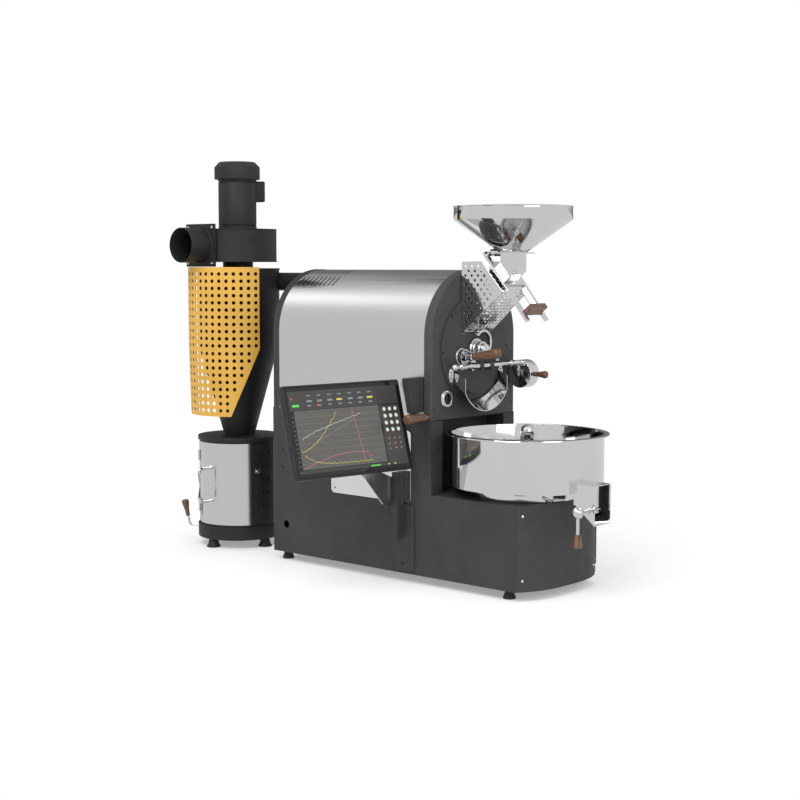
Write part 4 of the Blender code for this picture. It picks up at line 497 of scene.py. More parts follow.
def rounded_profile(points, radius, steps=3):
    """A profile with its corners rounded by a small radius; ends on the axis stay sharp."""
    made = []
    count = len(points)
    for index, point in enumerate(points):
        here = Vector(point)
        before, after = Vector(points[index - 1]), Vector(points[(index + 1) % count])
        first, second = before - here, after - here
        size = min(radius, first.length * 0.45, second.length * 0.45)
        if here.x < 1e-6 or size < 1e-6:
            made.append(tuple(here))
            continue
        start, end = here + first.normalized() * size, here + second.normalized() * size
        for step in range(steps + 1):
            share = step / steps
            made.append(tuple((1 - share) ** 2 * start + 2 * share * (1 - share) * here + share ** 2 * end))
    return made


FOOT_X, FOOT_FRONT, FOOT_REAR = 0.1418, -0.229, 0.5527
for name, x, y in (("foot_front_left", -FOOT_X, FOOT_FRONT), ("foot_front_right", FOOT_X, FOOT_FRONT),
                   ("foot_rear_left", -FOOT_X, FOOT_REAR), ("foot_rear_right", FOOT_X, FOOT_REAR)):
    foot_shape = turned(rounded_profile(foot_profile, 0.0015), (x, y, 0), steps=48)
    piece(name + "_rubber", foot_shape, RUBBER, "machine", [name])


def screw_heads(places, normal, radius, rise, recess=True):
    """Small domed screws with a round socket, standing on a face."""
    heads = []
    normal = Vector(normal).normalized()
    turn = normal.to_track_quat("Z", "X").to_matrix().to_4x4()
    for place in places:
        profile = [(radius * 0.42, rise * 0.35), (radius * 0.5, rise), (radius * 0.85, rise * 0.8),
                   (radius, 0.0), (0, 0.0), (0, rise * 0.35)]
        heads.append(moved(turned(profile, steps=24), Matrix.Translation(place) @ turn))
    return joined(*heads)


side_face = -HALF - 0.0001
SCREW_BLACK = powder_coat("black_screw", (0.012, 0.012, 0.012), 0.35)
piece("side_screws", screw_heads([(side_face, 0.542, 0.311), (side_face, 0.543, 0.262)], (-1, 0, 0),
                                 0.0028, 0.0012),
      SCREW_BLACK, "machine")
front_screws = []
for x, z in ((-0.157, 0.212), (-0.157, 0.052), (0.128, 0.212), (0.128, 0.052)):
    y = bow_line(x)
    slope = 3 * BOW_DEPTH * (abs(x) / bow_half) ** 2 / bow_half * math.copysign(1, x)
    front_screws.append(screw_heads([(x, y, z)], (slope, -1, 0), 0.0036, 0.0018))


# Polished stainless and chrome: nearly a mirror, with soft smears from handling.
def polished(name, colour, roughness):
    material, tree, shader = base(name)
    shader.inputs["Metallic"].default_value = 1
    smears = noise(tree, 14, 4, (1, 1, 0.5))
    dull = tuple(part * 0.965 for part in colour)
    tree.links.new(blend_colours(tree, smears.ramp(0.4, 0.7), colour, dull), shader.inputs["Base Color"])
    tree.links.new(smears.ramp(0.3, 0.75, roughness, roughness * 2.4).socket, shader.inputs["Roughness"])
    return material


SCREW_STEEL = polished("steel_screw", (0.82, 0.82, 0.82), 0.12)
piece("base_front_screws", joined(*front_screws), SCREW_STEEL, "machine")
flange_strip = sheet([(0.1505, 0.0505), (0.1560, 0.0450), (0.1650, 0.0450), (0.1700, 0.0505),
                      (0.1700, 0.2250), (0.1505, 0.2250)],
                     [], 0.0020, along("Y", (0, -0.2725, 0)))
piece("base_right_flange", flange_strip, COAT, "machine", bevel=0.0005)
piece("base_right_screws", screw_heads([(0.161, -0.2746, 0.206), (0.161, -0.2746, 0.060)], (0, -1, 0),
                                       0.0036, 0.0018),
      SCREW_STEEL, "machine")


def loft(rings, capped=True):
    """A skin through rings of equal counts."""
    shape = bmesh.new()
    made = [[shape.verts.new(point) for point in outline] for outline in rings]
    count = len(made[0])
    for first, second in zip(made, made[1:]):
        for index in range(count):
            after = (index + 1) % count
            shape.faces.new((first[index], first[after], second[after], second[index]))
    if capped:
        shape.faces.new(made[0])
        shape.faces.new(made[-1])
    bmesh.ops.recalc_face_normals(shape, faces=shape.faces[:])
    return shape


# The wedge-shaped box behind the front cover's band, where the damper's linkage sits.
wedge = loft([[(-0.2345, y, 0.538), (-0.2150, y, 0.449), (-0.1722, y, 0.449), (-0.1722, y, 0.538)]
              for y in (0.0265, 0.0450)])
piece("damper_linkage_box", wedge, COAT, "machine", bevel=0.0010)

# The bare polished plate on the left side, with a screw in each corner.
plate_outline = []
for (y, z), quarter in (((0.340, 0.386), 0), ((0.079, 0.386), 1), ((0.079, 0.223), 2), ((0.340, 0.223), 3)):
    plate_outline += [(y + 0.012 * math.cos(a), z + 0.012 * math.sin(a))
                      for a in angles(9, quarter * math.pi / 2, math.pi / 2)]
plate_holes = [ring(place, 0.0026, 20) for place in ((0.338, 0.225), (0.338, 0.384), (0.081, 0.384),
                                                     (0.081, 0.225))]
MIRROR = polished("mirror_plate", (0.82, 0.82, 0.83), 0.02)
piece("side_mirror_plate", sheet(plate_outline, plate_holes, -0.0019, along("X", (-HALF - 0.0004, 0, 0))),
      MIRROR, "machine", ["service_plate"], bevel=0.0003)

# Drum front
# A cast plate closes the drum and carries the chute, the door, the trier and the bearing.
# It has a rounded rim, a bolt circle and a shallow step round its middle; its fittings are chromed steel.
DRUM = 0.6035
DOOR_CENTRE = 0.585
HINGE = (-0.040, 0.563)
opening = [(x, z) for x, z in ring((0, DOOR_CENTRE), 0.090, 96) if z < 0.548]
opening_edge = math.sqrt(0.090 ** 2 - 0.037 ** 2)
opening = sorted(opening, key=lambda point: math.atan2(point[1] - 0.55, point[0]))
opening = [(-opening_edge, 0.548)] + opening + [(opening_edge, 0.548)]
feed_opening = [(-0.028, 0.667), (0.028, 0.667), (0.028, 0.7215), (-0.028, 0.7215)]
plate_front = sheet(ring((0, DRUM), 0.1355, 128), [opening, feed_opening, ring((0, DRUM), 0.0103, 32)],
                    -0.004, along("Y", (0, -0.0043, 0)))
plate_rim = turned(rounded_profile([(0.1353, -0.0003), (0.137, -0.0003), (0.137, -0.0043),
                                    (0.1353, -0.0043)], 0.0008),
                   (0, 0, DRUM), "Y", 128)
plate_boss = turned([(0.1205, -0.0003), (0.1205, 0.0077), (0.117, 0.0077), (0.117, -0.0003)],
                    (0, 0, DRUM), "Y", 96)
PLATE_COAT = powder_coat("plate_coat", (0.043, 0.043, 0.044), 0.5)
piece("front_plate_casting", joined(plate_front, plate_rim, plate_boss), PLATE_COAT, "machine",
      ["drum_front_plate"], angle=35)
bolt_places = [(0.1312 * math.cos(a), -0.0044, DRUM + 0.1312 * math.sin(a))
               for a in angles(8, math.radians(2))
               if not (math.sin(a) < -0.9 or math.sin(a) > 0.9)]
piece("plate_bolts", screw_heads(bolt_places, (0, -1, 0), 0.0032, 0.0016), SCREW_BLACK, "machine")
cover_bolts = [(-0.160, -0.0001, 0.643), (-0.162, -0.0001, 0.455), (0.160, -0.0001, 0.590),
               (0.162, -0.0001, 0.455), (-0.085, -0.0001, 0.775), (0.085, -0.0001, 0.775),
               (-0.150, -0.0001, 0.505), (-0.075, -0.0001, 0.446), (-0.02, -0.0001, 0.444),
               (0.05, -0.0001, 0.444)]
piece("cover_bolts", screw_heads(cover_bolts, (0, -1, 0), 0.0022, 0.0010), SCREW_BLACK, "machine")

# The trier's guide ring: a short chrome tube on the plate, open towards the handle.
guide = []
for radius in (0.020, 0.0175):
    guide.append([(-0.060 + radius * math.cos(a), 0.586 + radius * math.sin(a))
                  for a in angles(49, math.radians(40), math.radians(285))])
outline = guide[0] + guide[1][::-1]
guide_tube = sheet(outline, [], 0.0158, along("Y", (0, -0.0045, 0)))
guide_flange = turned(rounded_profile([(0.0095, -0.0045), (0.0225, -0.0045), (0.0225, -0.0072),
                                       (0.0095, -0.0072)], 0.0006),
                      (-0.060, 0, 0.586), "Y", 64)
CHROME = polished("polished_steel", (0.74, 0.74, 0.75), 0.045)
piece("trier_guide", joined(guide_tube, guide_flange), CHROME, "machine", angle=35)


# The discharge chute: one bright sheet that narrows and drops towards the tray.
def chute_section(forward, centre, radius, half, top, steps=40):
    """A U-shaped section of the chute as a closed outline of its sheet."""
    edge = math.asin(half / radius)
    outline = []
    for reach, order in ((radius, 1), (radius - 0.002, -1)):
        run = [(reach * math.sin(a), centre - reach * math.cos(a))
               for a in [edge * (2 * index / steps - 1) for index in range(steps + 1)]]
        limit = half - (radius - reach)
        run = [(-limit, top)] + [(max(-limit, min(limit, x)), z) for x, z in run] + [(limit, top)]
        outline += run[::order]
    return [(x, -forward, z) for x, z in outline]


chute_sections = []
for step in range(9):
    share = step / 8
    chute_sections.append(chute_section(0.0047 + share * 0.0377, DOOR_CENTRE - share * 0.039,
                                        0.110 - share * 0.008, 0.0905 - share * 0.0025,
                                        0.548 - share * 0.015))
piece("discharge_trough", loft(chute_sections), CHROME, "machine", ["discharge_chute"], angle=35)

# The half-round door, its ears, and the hinge rod with a ball at the left end.
door_arc = [(max(-0.0843, min(0.0843, x)), z) for x, z in ring((0, DOOR_CENTRE), 0.0968, 120) if z < 0.5528]
door_arc = sorted(door_arc, key=lambda point: math.atan2(point[1] - DOOR_CENTRE, point[0]))
door_outline = [(-0.0843, 0.5528)] + door_arc + [(0.0843, 0.5528)]
door_plate = sheet(door_outline, [], 0.0077, along("Y", (0, -0.0047, 0)))
ears = []


def rod(start, end, radius, end_radius=None, steps=32):
    """A round bar between two points."""
    start, end = Vector(start), Vector(end)
    span = end - start
    shape = bmesh.new()
    bmesh.ops.create_cone(shape, cap_ends=True, segments=steps, radius1=radius,
                          radius2=radius if end_radius is None else end_radius, depth=span.length)
    turn = span.to_track_quat("Z", "Y").to_matrix().to_4x4()
    return moved(shape, Matrix.Translation((start + end) / 2) @ turn)


for x in (0.018, -0.024):
    ears.append(joined(box((x, -0.047, 0.552), (x + 0.006, -0.0125, 0.570)),
                       rod((x - 0.001, *HINGE), (x + 0.007, *HINGE), 0.009)))
piece("door_plate", door_plate, PLATE_COAT, "door", ["discharge_door"], bevel=0.0008)
piece("door_ears", joined(*ears), PLATE_COAT, "door", bevel=0.0008)
weight_profile = rounded_profile([(0, 0.143), (0.0375, 0.143), (0.0375, 0.181), (0, 0.181)], 0.0014)
weight = turned(weight_profile, (0, -0.040, 0.533), "X", 96)


def ball(centre, radius):
    """A sphere."""
    shape = bmesh.new()
    bmesh.ops.create_uvsphere(shape, u_segments=40, v_segments=24, radius=radius)
    bmesh.ops.translate(shape, vec=centre, verts=shape.verts[:])
    return shape


axle = joined(rod((-0.128, *HINGE), (0.160, *HINGE), 0.0049), ball((-0.128, *HINGE), 0.0088),
              rod((0.120, *HINGE), (0.1435, *HINGE), 0.0078),
              rod((-0.098, *HINGE), (-0.084, *HINGE), 0.0072))
piece("door_axle", axle, CHROME, "door", angle=35)
piece("door_weight", weight, CHROME, "door", ["door_counterweight"], angle=35)

# Two diamond feet with two screws each carry the hinge rod.
for name, x in (("left", -0.1025), ("right", 0.1025)):
    diamond = [(x, 0.5585), (x - 0.004, 0.5575), (x - 0.0098, 0.544), (x - 0.0098, 0.536),
               (x - 0.004, 0.5225), (x, 0.5215), (x + 0.004, 0.5225), (x + 0.0098, 0.536),
               (x + 0.0098, 0.544), (x + 0.004, 0.5575)]
    foot = sheet(diamond, [ring((x, 0.5475), 0.0022, 20), ring((x, 0.5315), 0.0022, 20)], 0.0033,
                 along("Y", (0, -0.0047, 0)))
    arm = joined(box((x - 0.0035, -0.038, 0.557), (x + 0.0035, -0.0075, 0.569)),
                 rod((x - 0.004, *HINGE), (x + 0.004, *HINGE), 0.0084))
    piece("hinge_foot_" + name, joined(foot, arm), CHROME, "machine", ["hinge_bracket_" + name], bevel=0.0004)
    piece("hinge_foot_screws_" + name, screw_heads([(x, -0.0079, 0.5475), (x, -0.0079, 0.5315)], (0, -1, 0),
                                                   0.0019, 0.0006),
          SCREW_BLACK, "machine")

# The bearing cap: a bolted flange, a stepped hub, and a bent loop strap over its upper right.
cap_profile = rounded_profile([(0, -0.042), (0.0125, -0.042), (0.017, -0.0375), (0.017, -0.030),
                               (0.021, -0.030), (0.021, -0.016), (0.0245, -0.016), (0.0245, -0.0095),
                               (0.0285, -0.0095), (0.0285, -0.0047), (0, -0.0047)], 0.0008)
cap = turned(cap_profile, (0, 0, DRUM), "Y", 72)
cap_bolts = screw_heads([(0.0265 * math.cos(a), -0.0095, DRUM + 0.0265 * math.sin(a))
                         for a in angles(6, 0.4)],
                        (0, -1, 0), 0.0021, 0.0022)
face_bolts = screw_heads([(0.0095 * math.cos(a), -0.042, DRUM + 0.0095 * math.sin(a))
                          for a in angles(4, 0.8)],
                         (0, -1, 0), 0.0018, 0.0016)
strap = []
for radius in (0.033, 0.027):
    strap.append([(0.012 + radius * math.cos(a), 0.622 + radius * math.sin(a))
                  for a in angles(33, math.radians(-50), math.radians(190))])
strap_sheet = sheet(strap[0] + strap[1][::-1], [], 0.012, along("Y", (0, -0.012, 0)))
lever = sheet([(-0.040, 0.590), (-0.030, 0.594), (-0.016, 0.566), (-0.014, 0.553), (-0.033, 0.549),
               (-0.036, 0.560)],
              [], 0.003, along("Y", (0, -0.018, 0)))
lever_pin = rod((-0.022, -0.020, 0.584), (-0.022, -0.0046, 0.584), 0.004)
piece("bearing_hub", joined(cap, cap_bolts, face_bolts), CHROME, "machine", ["bearing_cap"], angle=35)
piece("bearing_strap", joined(strap_sheet, lever, lever_pin), CHROME, "machine", bevel=0.0006)
small_plate = sheet([(0.084, 0.5585), (0.098, 0.5585), (0.098, 0.5745), (0.084, 0.5745)],
                    [ring((0.091, 0.5665), 0.003, 20)], 0.0025, along("Y", (0, -0.0045, 0)))
piece("probe_plate", small_plate, CHROME, "machine", bevel=0.0004)

# The sight port: a bevelled chrome ring with four screws round a dark glass.
port = turned(rounded_profile([(0.0145, -0.0006), (0.0228, -0.0006), (0.0228, -0.0035), (0.0195, -0.0078),
                               (0.0145, -0.0078)],
                              0.0008), (SIGHT[0], 0, SIGHT[1]), "Y", 72)
port_bolts = screw_heads([(SIGHT[0] + 0.0195 * math.cos(a), -0.0066, SIGHT[1] + 0.0195 * math.sin(a))
                          for a in angles(4, math.pi / 4)], (0, -1, 0), 0.0016, 0.001)
piece("sight_ring", joined(port, port_bolts), CHROME, "machine", ["sight_port"], angle=35)
glass_dark, glass_tree, glass_shader = base("sight_glass_dark")
glass_tree.links.new(blend_colours(glass_tree, noise(glass_tree, 90, 2), (0.004, 0.004, 0.004),
                                   (0.012, 0.010, 0.008)),
                     glass_shader.inputs["Base Color"])
glass_shader.inputs["Roughness"].default_value = 0.06
piece("sight_glass", turned([(0, 0.002), (0.0146, 0.002), (0.0146, 0.0045), (0, 0.0045)],
                            (SIGHT[0], 0, SIGHT[1]), "Y", 48),
      glass_dark, "machine")

# Turned walnut handles
# The handles are walnut, turned on a lathe and oiled, with a thin neck and a rounded end.
# Each sits on a bright steel stem.


def turned_along(start, end, profile, steps=40):
    """A profile of (share along, radius) points turned about the line from start to end."""
    start, end = Vector(start), Vector(end)
    turn = (end - start).to_track_quat("Z", "X").to_matrix()
    rings = [[start + (end - start) * share + turn @ Vector((radius * math.cos(a), radius * math.sin(a), 0))
              for a in angles(steps)] for share, radius in profile]
    return loft(rings)


def handle(name, start, end, neck, bulb, material, body, node):
    """A handle with a thin neck ring, a waist and a rounded, wider end."""
    profile = [(0, 0.0), (0, neck * 0.86), (0.02, neck), (0.10, neck), (0.115, neck * 0.93),
               (0.15, neck * 0.93), (0.165, neck), (0.30, neck * 1.01), (0.55, neck + (bulb - neck) * 0.45),
               (0.78, bulb * 0.985), (0.90, bulb), (0.955, bulb * 0.955), (0.985, bulb * 0.82),
               (1.0, bulb * 0.55), (1.0, 0.0)]
    profile = [(share, max(radius, 0.0002)) for share, radius in profile]
    piece(name, turned_along(start, end, profile), material, body, [node], angle=40)


tilt = math.radians(9)
out = Vector((0, -math.cos(tilt), math.sin(tilt)))
root = Vector((-0.060, 0, 0.581))


# Walnut: dark streaks along the handle over a warm brown, with an oiled finish.
def walnut(name, stretch):
    material, tree, shader = base(name)
    grain = noise(tree, 1, 5, stretch)
    fine = noise(tree, 3, 3, tuple(part * 2.5 for part in stretch))
    mixed = grain * 0.65 + fine * 0.35
    tree.links.new(blend_colours(tree, mixed.ramp(0.36, 0.64), (0.062, 0.030, 0.016), (0.205, 0.108, 0.058)),
                   shader.inputs["Base Color"])
    tree.links.new(mixed.ramp(0.3, 0.7, 0.5, 0.36).socket, shader.inputs["Roughness"])
    shader.inputs["Coat Weight"].default_value = 0.15
    shader.inputs["Coat Roughness"].default_value = 0.25
    bump(tree, shader, mixed, 0.12, 0.0003)
    return material


WOOD_Y = walnut("walnut_fore_and_aft", (150, 14, 150))
handle("trier_handle", root + out * 0.0484, root + out * 0.1318, 0.0098, 0.0124, WOOD_Y,
       "sampler", "trier_grip")
end_collar = turned_along(root + out * 0.0395, root + out * 0.048,
                          [(0, 0.0102), (0.2, 0.0109), (0.8, 0.0109), (1, 0.0102)])
mid_collar = turned_along(root + out * 0.020, root + out * 0.027, [(0, 0.0094), (0.5, 0.0094), (1, 0.0094)])
tube = joined(rod(root - out * 0.012, root + out * 0.041, 0.0079), end_collar, mid_collar)
scoop = box((-0.0675, 0.006, 0.5635), (-0.0525, 0.048, 0.574))
piece("trier_tube", joined(tube, scoop), CHROME, "sampler", ["trier"], angle=35)
handle("weight_handle", (0.162, -0.0779, 0.533), (0.162, -0.1165, 0.533), 0.0066, 0.0100, WOOD_Y,
       "door", "door_grip")
WOOD_X = walnut("walnut_across", (14, 150, 150))
handle("damper_handle", (-0.1819, 0.012, 0.4365), (-0.2563, 0.012, 0.4365), 0.0094, 0.0124, WOOD_X, "damper",
       "damper_knob")
piece("damper_rod", joined(rod((-0.182, 0.012, 0.4365), (-0.10, 0.012, 0.4365), 0.0039),
                           rod((-0.1765, 0.012, 0.4365), (-0.1735, 0.012, 0.4365), 0.0072)), CHROME, "damper",
      ["damper_slide"], angle=35)
WOOD_Z = walnut("walnut_upright", (150, 150, 14))
handle("flap_handle", (-0.1005, -0.402, 0.1741), (-0.1005, -0.402, 0.1418), 0.0088, 0.0124, WOOD_Z,
       "flap", "flap_grip")
lever_angle = math.radians(131.5)
CYCLONE = Vector((-0.0627, 0.839, 0))
spoke = Vector((math.cos(lever_angle), math.sin(lever_angle), 0))
elbow = CYCLONE + spoke * 0.150 + Vector((0, 0, 0.050))
lean = Vector((0, 0, 1)) + spoke * math.tan(math.radians(11))
handle("lever_handle", elbow + lean * 0.0284, elbow + lean * 0.0768, 0.0060, 0.0103, WOOD_Z, "lever",
       "collector_grip")


def swept(path, radius, steps=20):
    """A round bar along a path."""
    path = [Vector(point) for point in path]
    rings = []
    for index, point in enumerate(path):
        direction = path[min(index + 1, len(path) - 1)] - path[max(index - 1, 0)]
        turn = direction.to_track_quat("Z", "X").to_matrix()
        rings.append([point + turn @ Vector((radius * math.cos(a), radius * math.sin(a), 0))
                      for a in angles(steps)])
    return loft(rings)


def smooth_path(points, radius, steps=5):
    """A path whose corners are rounded."""
    made = [Vector(points[0])]
    for before, here, after in zip(points, points[1:], points[2:]):
        before, here, after = Vector(before), Vector(here), Vector(after)
        first, second = before - here, after - here
        size = min(radius, first.length * 0.45, second.length * 0.45)
        start, end = here + first.normalized() * size, here + second.normalized() * size
        for step in range(steps + 1):
            share = step / steps
            made.append((1 - share) ** 2 * start + 2 * share * (1 - share) * here + share ** 2 * end)
    return made + [Vector(points[-1])]


crank = swept(smooth_path([CYCLONE + spoke * 0.108 + Vector((0, 0, 0.050)), elbow, elbow + lean * 0.029],
                          0.010), 0.0029)
piece("lever_crank", crank, CHROME, "lever", ["collector_lever"], angle=40)

# Hopper and feed gate
# The hopper is spun bright sheet with a rolled rim over a short band and a cone.
# Below it stands the slide gate in its frame, over the folded feed chute.
hopper_profile = [(0.1500, 0.9683), (0.1506, 0.9700), (0.1518, 0.9704), (0.1527, 0.9695), (0.1524, 0.9678),
                  (0.1512, 0.9668), (0.1512, 0.9378), (0.1496, 0.9355), (0.038, 0.8560), (0.038, 0.8546),
                  (0.036, 0.8546), (0.036, 0.8575), (0.1490, 0.9378), (0.1496, 0.9385), (0.1496, 0.9665)]
piece("hopper_spinning", turned(hopper_profile, (0, -0.125, 0), steps=144), CHROME, "machine",
      ["hopper"], angle=35)
for name in ("gate_frame", "feed_chute"):
    dress(name, CHROME, 0.0007)
slope = math.radians(51)
DOWN = Vector((0, -math.cos(slope), -math.sin(slope)))
FACE = Vector((0, math.sin(slope), -math.cos(slope)))
GATE = Vector((0, -0.108, 0.799))
gate_turn = Matrix((Vector((1, 0, 0)), DOWN, FACE)).transposed().to_4x4()
gate_place = Matrix.Translation(GATE) @ gate_turn


def gate_box(low, high):
    """A box square to the sloping gate: across, down the slope and through it."""
    return moved(box(low, high), gate_place)


def gate_point(across, down, through):
    """A point measured from the gate's middle."""
    return GATE + Vector((across, 0, 0)) + DOWN * down + FACE * through


# The slide: a flat gate that widens into a stirrup, with a guide rod and the walnut block it is pulled by.
stirrup = [(-0.0325, -0.036), (0.0325, -0.036), (0.0325, 0.1313), (-0.0325, 0.1313)]
window = [(-0.0245, 0.052), (0.0245, 0.052), (0.0245, 0.112), (-0.0245, 0.112)]
slide = sheet(stirrup, [window], 0.0019, gate_place)
guide_rod = joined(rod(gate_point(0.026, 0.050, 0.0045), gate_point(0.026, 0.120, 0.0045), 0.0029),
                   rod(gate_point(0.026, 0.050, 0.0045), gate_point(0.026, 0.0555, 0.0045), 0.0053))
piece("slide_plate", joined(slide, guide_rod), CHROME, "gate", ["slide_gate"], bevel=0.0004)
piece("slide_block", gate_box((-0.0318, 0.1167, -0.0298), (0.0318, 0.1313, -0.0005)), WOOD_X, "gate",
      ["gate_grip"], bevel=0.0022)
upper_loop = swept(smooth_path([gate_point(-0.039, -0.060, -0.004), gate_point(-0.039, -0.064, -0.018),
                                gate_point(0.039, -0.064, -0.018), gate_point(0.039, -0.060, -0.004)],
                               0.006), 0.0028)
piece("rail_loop", upper_loop, CHROME, "machine", angle=40)

# The chute guard: a folded bright sheet, its cheeks drilled on a staggered grid and its underside slotted.
guard_edge = -0.0046
cheek = [(guard_edge, 0.8305), (-0.067, 0.8318), (-0.1349, 0.7571), (guard_edge, 0.6441)]


def inside(outline, point, margin):
    """Whether a point lies in a convex outline by a margin."""
    total = 0
    count = len(outline)
    for index in range(count):
        (ax, ay), (bx, by) = outline[index], outline[(index + 1) % count]
        side = ((bx - ax) * (point[1] - ay) - (by - ay) * (point[0] - ax)) / math.hypot(bx - ax, by - ay)
        if abs(side) < margin:
            return False
        total += 1 if side > 0 else -1
    return abs(total) == count


cheek_holes = []
for row in range(16):
    for column in range(9):
        y = guard_edge - 0.012 - (column + (row % 2) / 2) * 0.0205
        z = 0.8190 - row * 0.0118
        if inside(cheek, (y, z), 0.0085):
            cheek_holes.append(ring((y, z), 0.0037, 20))
cheeks = [sheet(cheek, cheek_holes, 0.0015, along("X", (x, 0, 0))) for x in (-0.0579, 0.0564)]
nose, heel = Vector((0, -0.1349, 0.7571)), Vector((0, guard_edge, 0.6441))
run = (heel - nose).normalized()
lift = Vector((0, -run.z, run.y))
under_length = (heel - nose).length
under_holes = []
for row in range(14):
    for column in range(8):
        x = (column - 3.5) * 0.0140
        along_run = 0.012 + row * 0.0122
        if abs(x) < 0.052 and along_run < under_length - 0.010:
            under_holes.append(slot_outline((x, along_run), 0.0052, 0.0026, math.pi / 2 + 0.35))
under_turn = Matrix((Vector((1, 0, 0)), run, lift)).transposed().to_4x4()
underside = sheet([(-0.0565, 0), (0.0565, 0), (0.0565, under_length), (-0.0565, under_length)], under_holes,
                  0.0015, Matrix.Translation(nose) @ under_turn)
piece("guard_folded_sheet", joined(*cheeks, underside), CHROME, "machine", ["chute_guard"])

# Cooling tray
# A round tray of spun steel with a wide rim and a pierced floor, on a round air pan.
# The stirrer turns on its middle, and the flap at its side lets the beans out.
TRAY = Vector((0, -0.1748, 0))
tray_profile = [(0.0083, 0.2719), (0.0083, 0.2701), (0.145, 0.2701), (0.145, 0.2600), (0.139, 0.2600),
                (0.139, 0.2398), (0.0585, 0.2398), (0.0585, 0.2379), (0.1395, 0.2379), (0.1410, 0.2395),
                (0.1410, 0.2590), (0.1480, 0.2590), (0.1480, 0.2630), (0.1935, 0.2630), (0.1951, 0.2648),
                (0.1952, 0.3955), (0.1965, 0.3968), (0.2060, 0.3942), (0.2078, 0.3947), (0.2086, 0.3962),
                (0.2079, 0.3978), (0.1975, 0.3993), (0.1940, 0.3985), (0.1933, 0.3965), (0.1933, 0.2735),
                (0.1918, 0.2719)]
tray_shape = turned(tray_profile, TRAY, steps=160)
piece("tray_spinning", tray_shape, CHROME, "machine", ["cooling_tray"], angle=35)
knob_direction = Vector((-0.083, -0.118, 0)).normalized()
knob_level = Vector((0, 0, 0.250))
knob_root = TRAY + knob_direction * 0.140 + knob_level
knob_tip = TRAY + knob_direction * 0.151 + knob_level
piece("tray_knob", joined(rod(knob_root, knob_tip, 0.0028), ball(knob_tip, 0.0048)), CHROME,
      "machine", angle=40)
# Painted shade: a near black ring fills the gap between the tray and its air pan, for the shadow in that
# recess.
piece("tray_gap_painted_shade", turned([(0.1481, 0.2592), (0.1560, 0.2592), (0.1560, 0.2628), (0.1481, 0.2628)],
                              TRAY, steps=96),
      SHADE_BLACK, "machine")

# The pierced floor: a disc of fine holes in rings, drawn by its material over a bright sheet, each hole
# painted near black as painted shade.
floor_mat, floor_tree, floor_shader = base("pierced_floor")
floor_shader.inputs["Metallic"].default_value = 1
split = shader_node(floor_tree, "SeparateXYZ", {0: coordinates(floor_tree)})
across = Value(floor_tree, split.outputs[0]).mod(0.006) - 0.003
deep = Value(floor_tree, split.outputs[1]).mod(0.006) - 0.003
# Painted shade: where the mask marks a hole, the colour is near black for the shade seen through it.
hole_shade_mask = (across * across + deep * deep) < 0.0000026
floor_tree.links.new(blend_colours(floor_tree, hole_shade_mask, (0.70, 0.70, 0.71), (0.01, 0.01, 0.01)),
                     floor_shader.inputs["Base Color"])
floor_tree.links.new(hole_shade_mask.ramp(0, 1, 0.16, 0.8).socket, floor_shader.inputs["Roughness"])
bump(floor_tree, floor_shader, 1 - hole_shade_mask, 0.4, 0.0006)
piece("tray_floor", turned([(0.0084, 0.2720), (0.1930, 0.2720), (0.1930, 0.2724), (0.0084, 0.2724)],
                           TRAY, steps=128),
      floor_mat, "machine", angle=35)

# The stirrer: domed hub, three swept arms, each with a row of slanted blades.
stirrer_hub = turned(rounded_profile([(0, 0.226), (0.0078, 0.226), (0.0078, 0.2725), (0.0148, 0.2945),
                                      (0.0148, 0.3158), (0.0098, 0.320), (0.0098, 0.3782), (0.0172, 0.3782),
                                      (0.0172, 0.402), (0.0150, 0.4105), (0.0098, 0.4155), (0.004, 0.4178),
                                      (0, 0.418)], 0.0010),
                     TRAY, steps=64)
parts = [stirrer_hub]
for turn in angles(3, math.radians(20)):
    place = Matrix.Translation(TRAY) @ Matrix.Rotation(turn, 4, "Z")
    parts.append(moved(rod((0.0, 0, 0.305), (0.180, 0, 0.305), 0.0049), place))
    for index in range(4):
        centre = 0.058 + index * 0.036
        blade = sheet([(-0.020, -0.0285), (0.020, -0.0285), (0.0155, 0.0), (-0.0155, 0.0)], [], 0.0016,
                      Matrix.Translation((centre, 0, 0.3045))
                      @ Matrix.Rotation(math.radians(20 + 7 * index), 4, "Z")
                      @ Matrix.Rotation(math.pi / 2, 4, "X"))
        parts.append(moved(blade, place))
piece("stirring_set", joined(*parts), CHROME, "stirring_arms", ["stirrer"], angle=35)

# The tray's box chute with its flap: bright folded sheet, a shaft, a ball and the hanging lever.
dress("tray_chute", CHROME, 0.0006)
# Painted shade: a near black sheet inside the tray chute stands for the shade within it.
chute_painted_shade = loft([[(x, y, z) for x, z in ((-0.0563, low), (0.0093, low), (0.0093, 0.2868), (-0.0563, 0.2868))]
              for y, low in ((-0.4180, 0.1962), (-0.3905, 0.2186), (-0.3760, 0.2400))], capped=False)
piece("tray_chute_painted_shade", chute_painted_shade, SHADE_BLACK, "machine")
flap = joined(box((-0.0543, -0.403, 0.2172), (0.0073, -0.401, 0.2838)),
              rod((-0.100, -0.402, 0.227), (0.0133, -0.402, 0.227), 0.0039),
              ball((-0.1005, -0.402, 0.227), 0.0143),
              rod((-0.1005, -0.402, 0.218), (-0.1005, -0.402, 0.1746), 0.0044),
              rod((-0.0885, -0.402, 0.227), (-0.078, -0.402, 0.227), 0.0072, 0.0052),
              rod((-0.065, -0.402, 0.227), (-0.0592, -0.402, 0.227), 0.0072))
piece("flap_set", flap, CHROME, "flap", ["tray_flap"], angle=35)

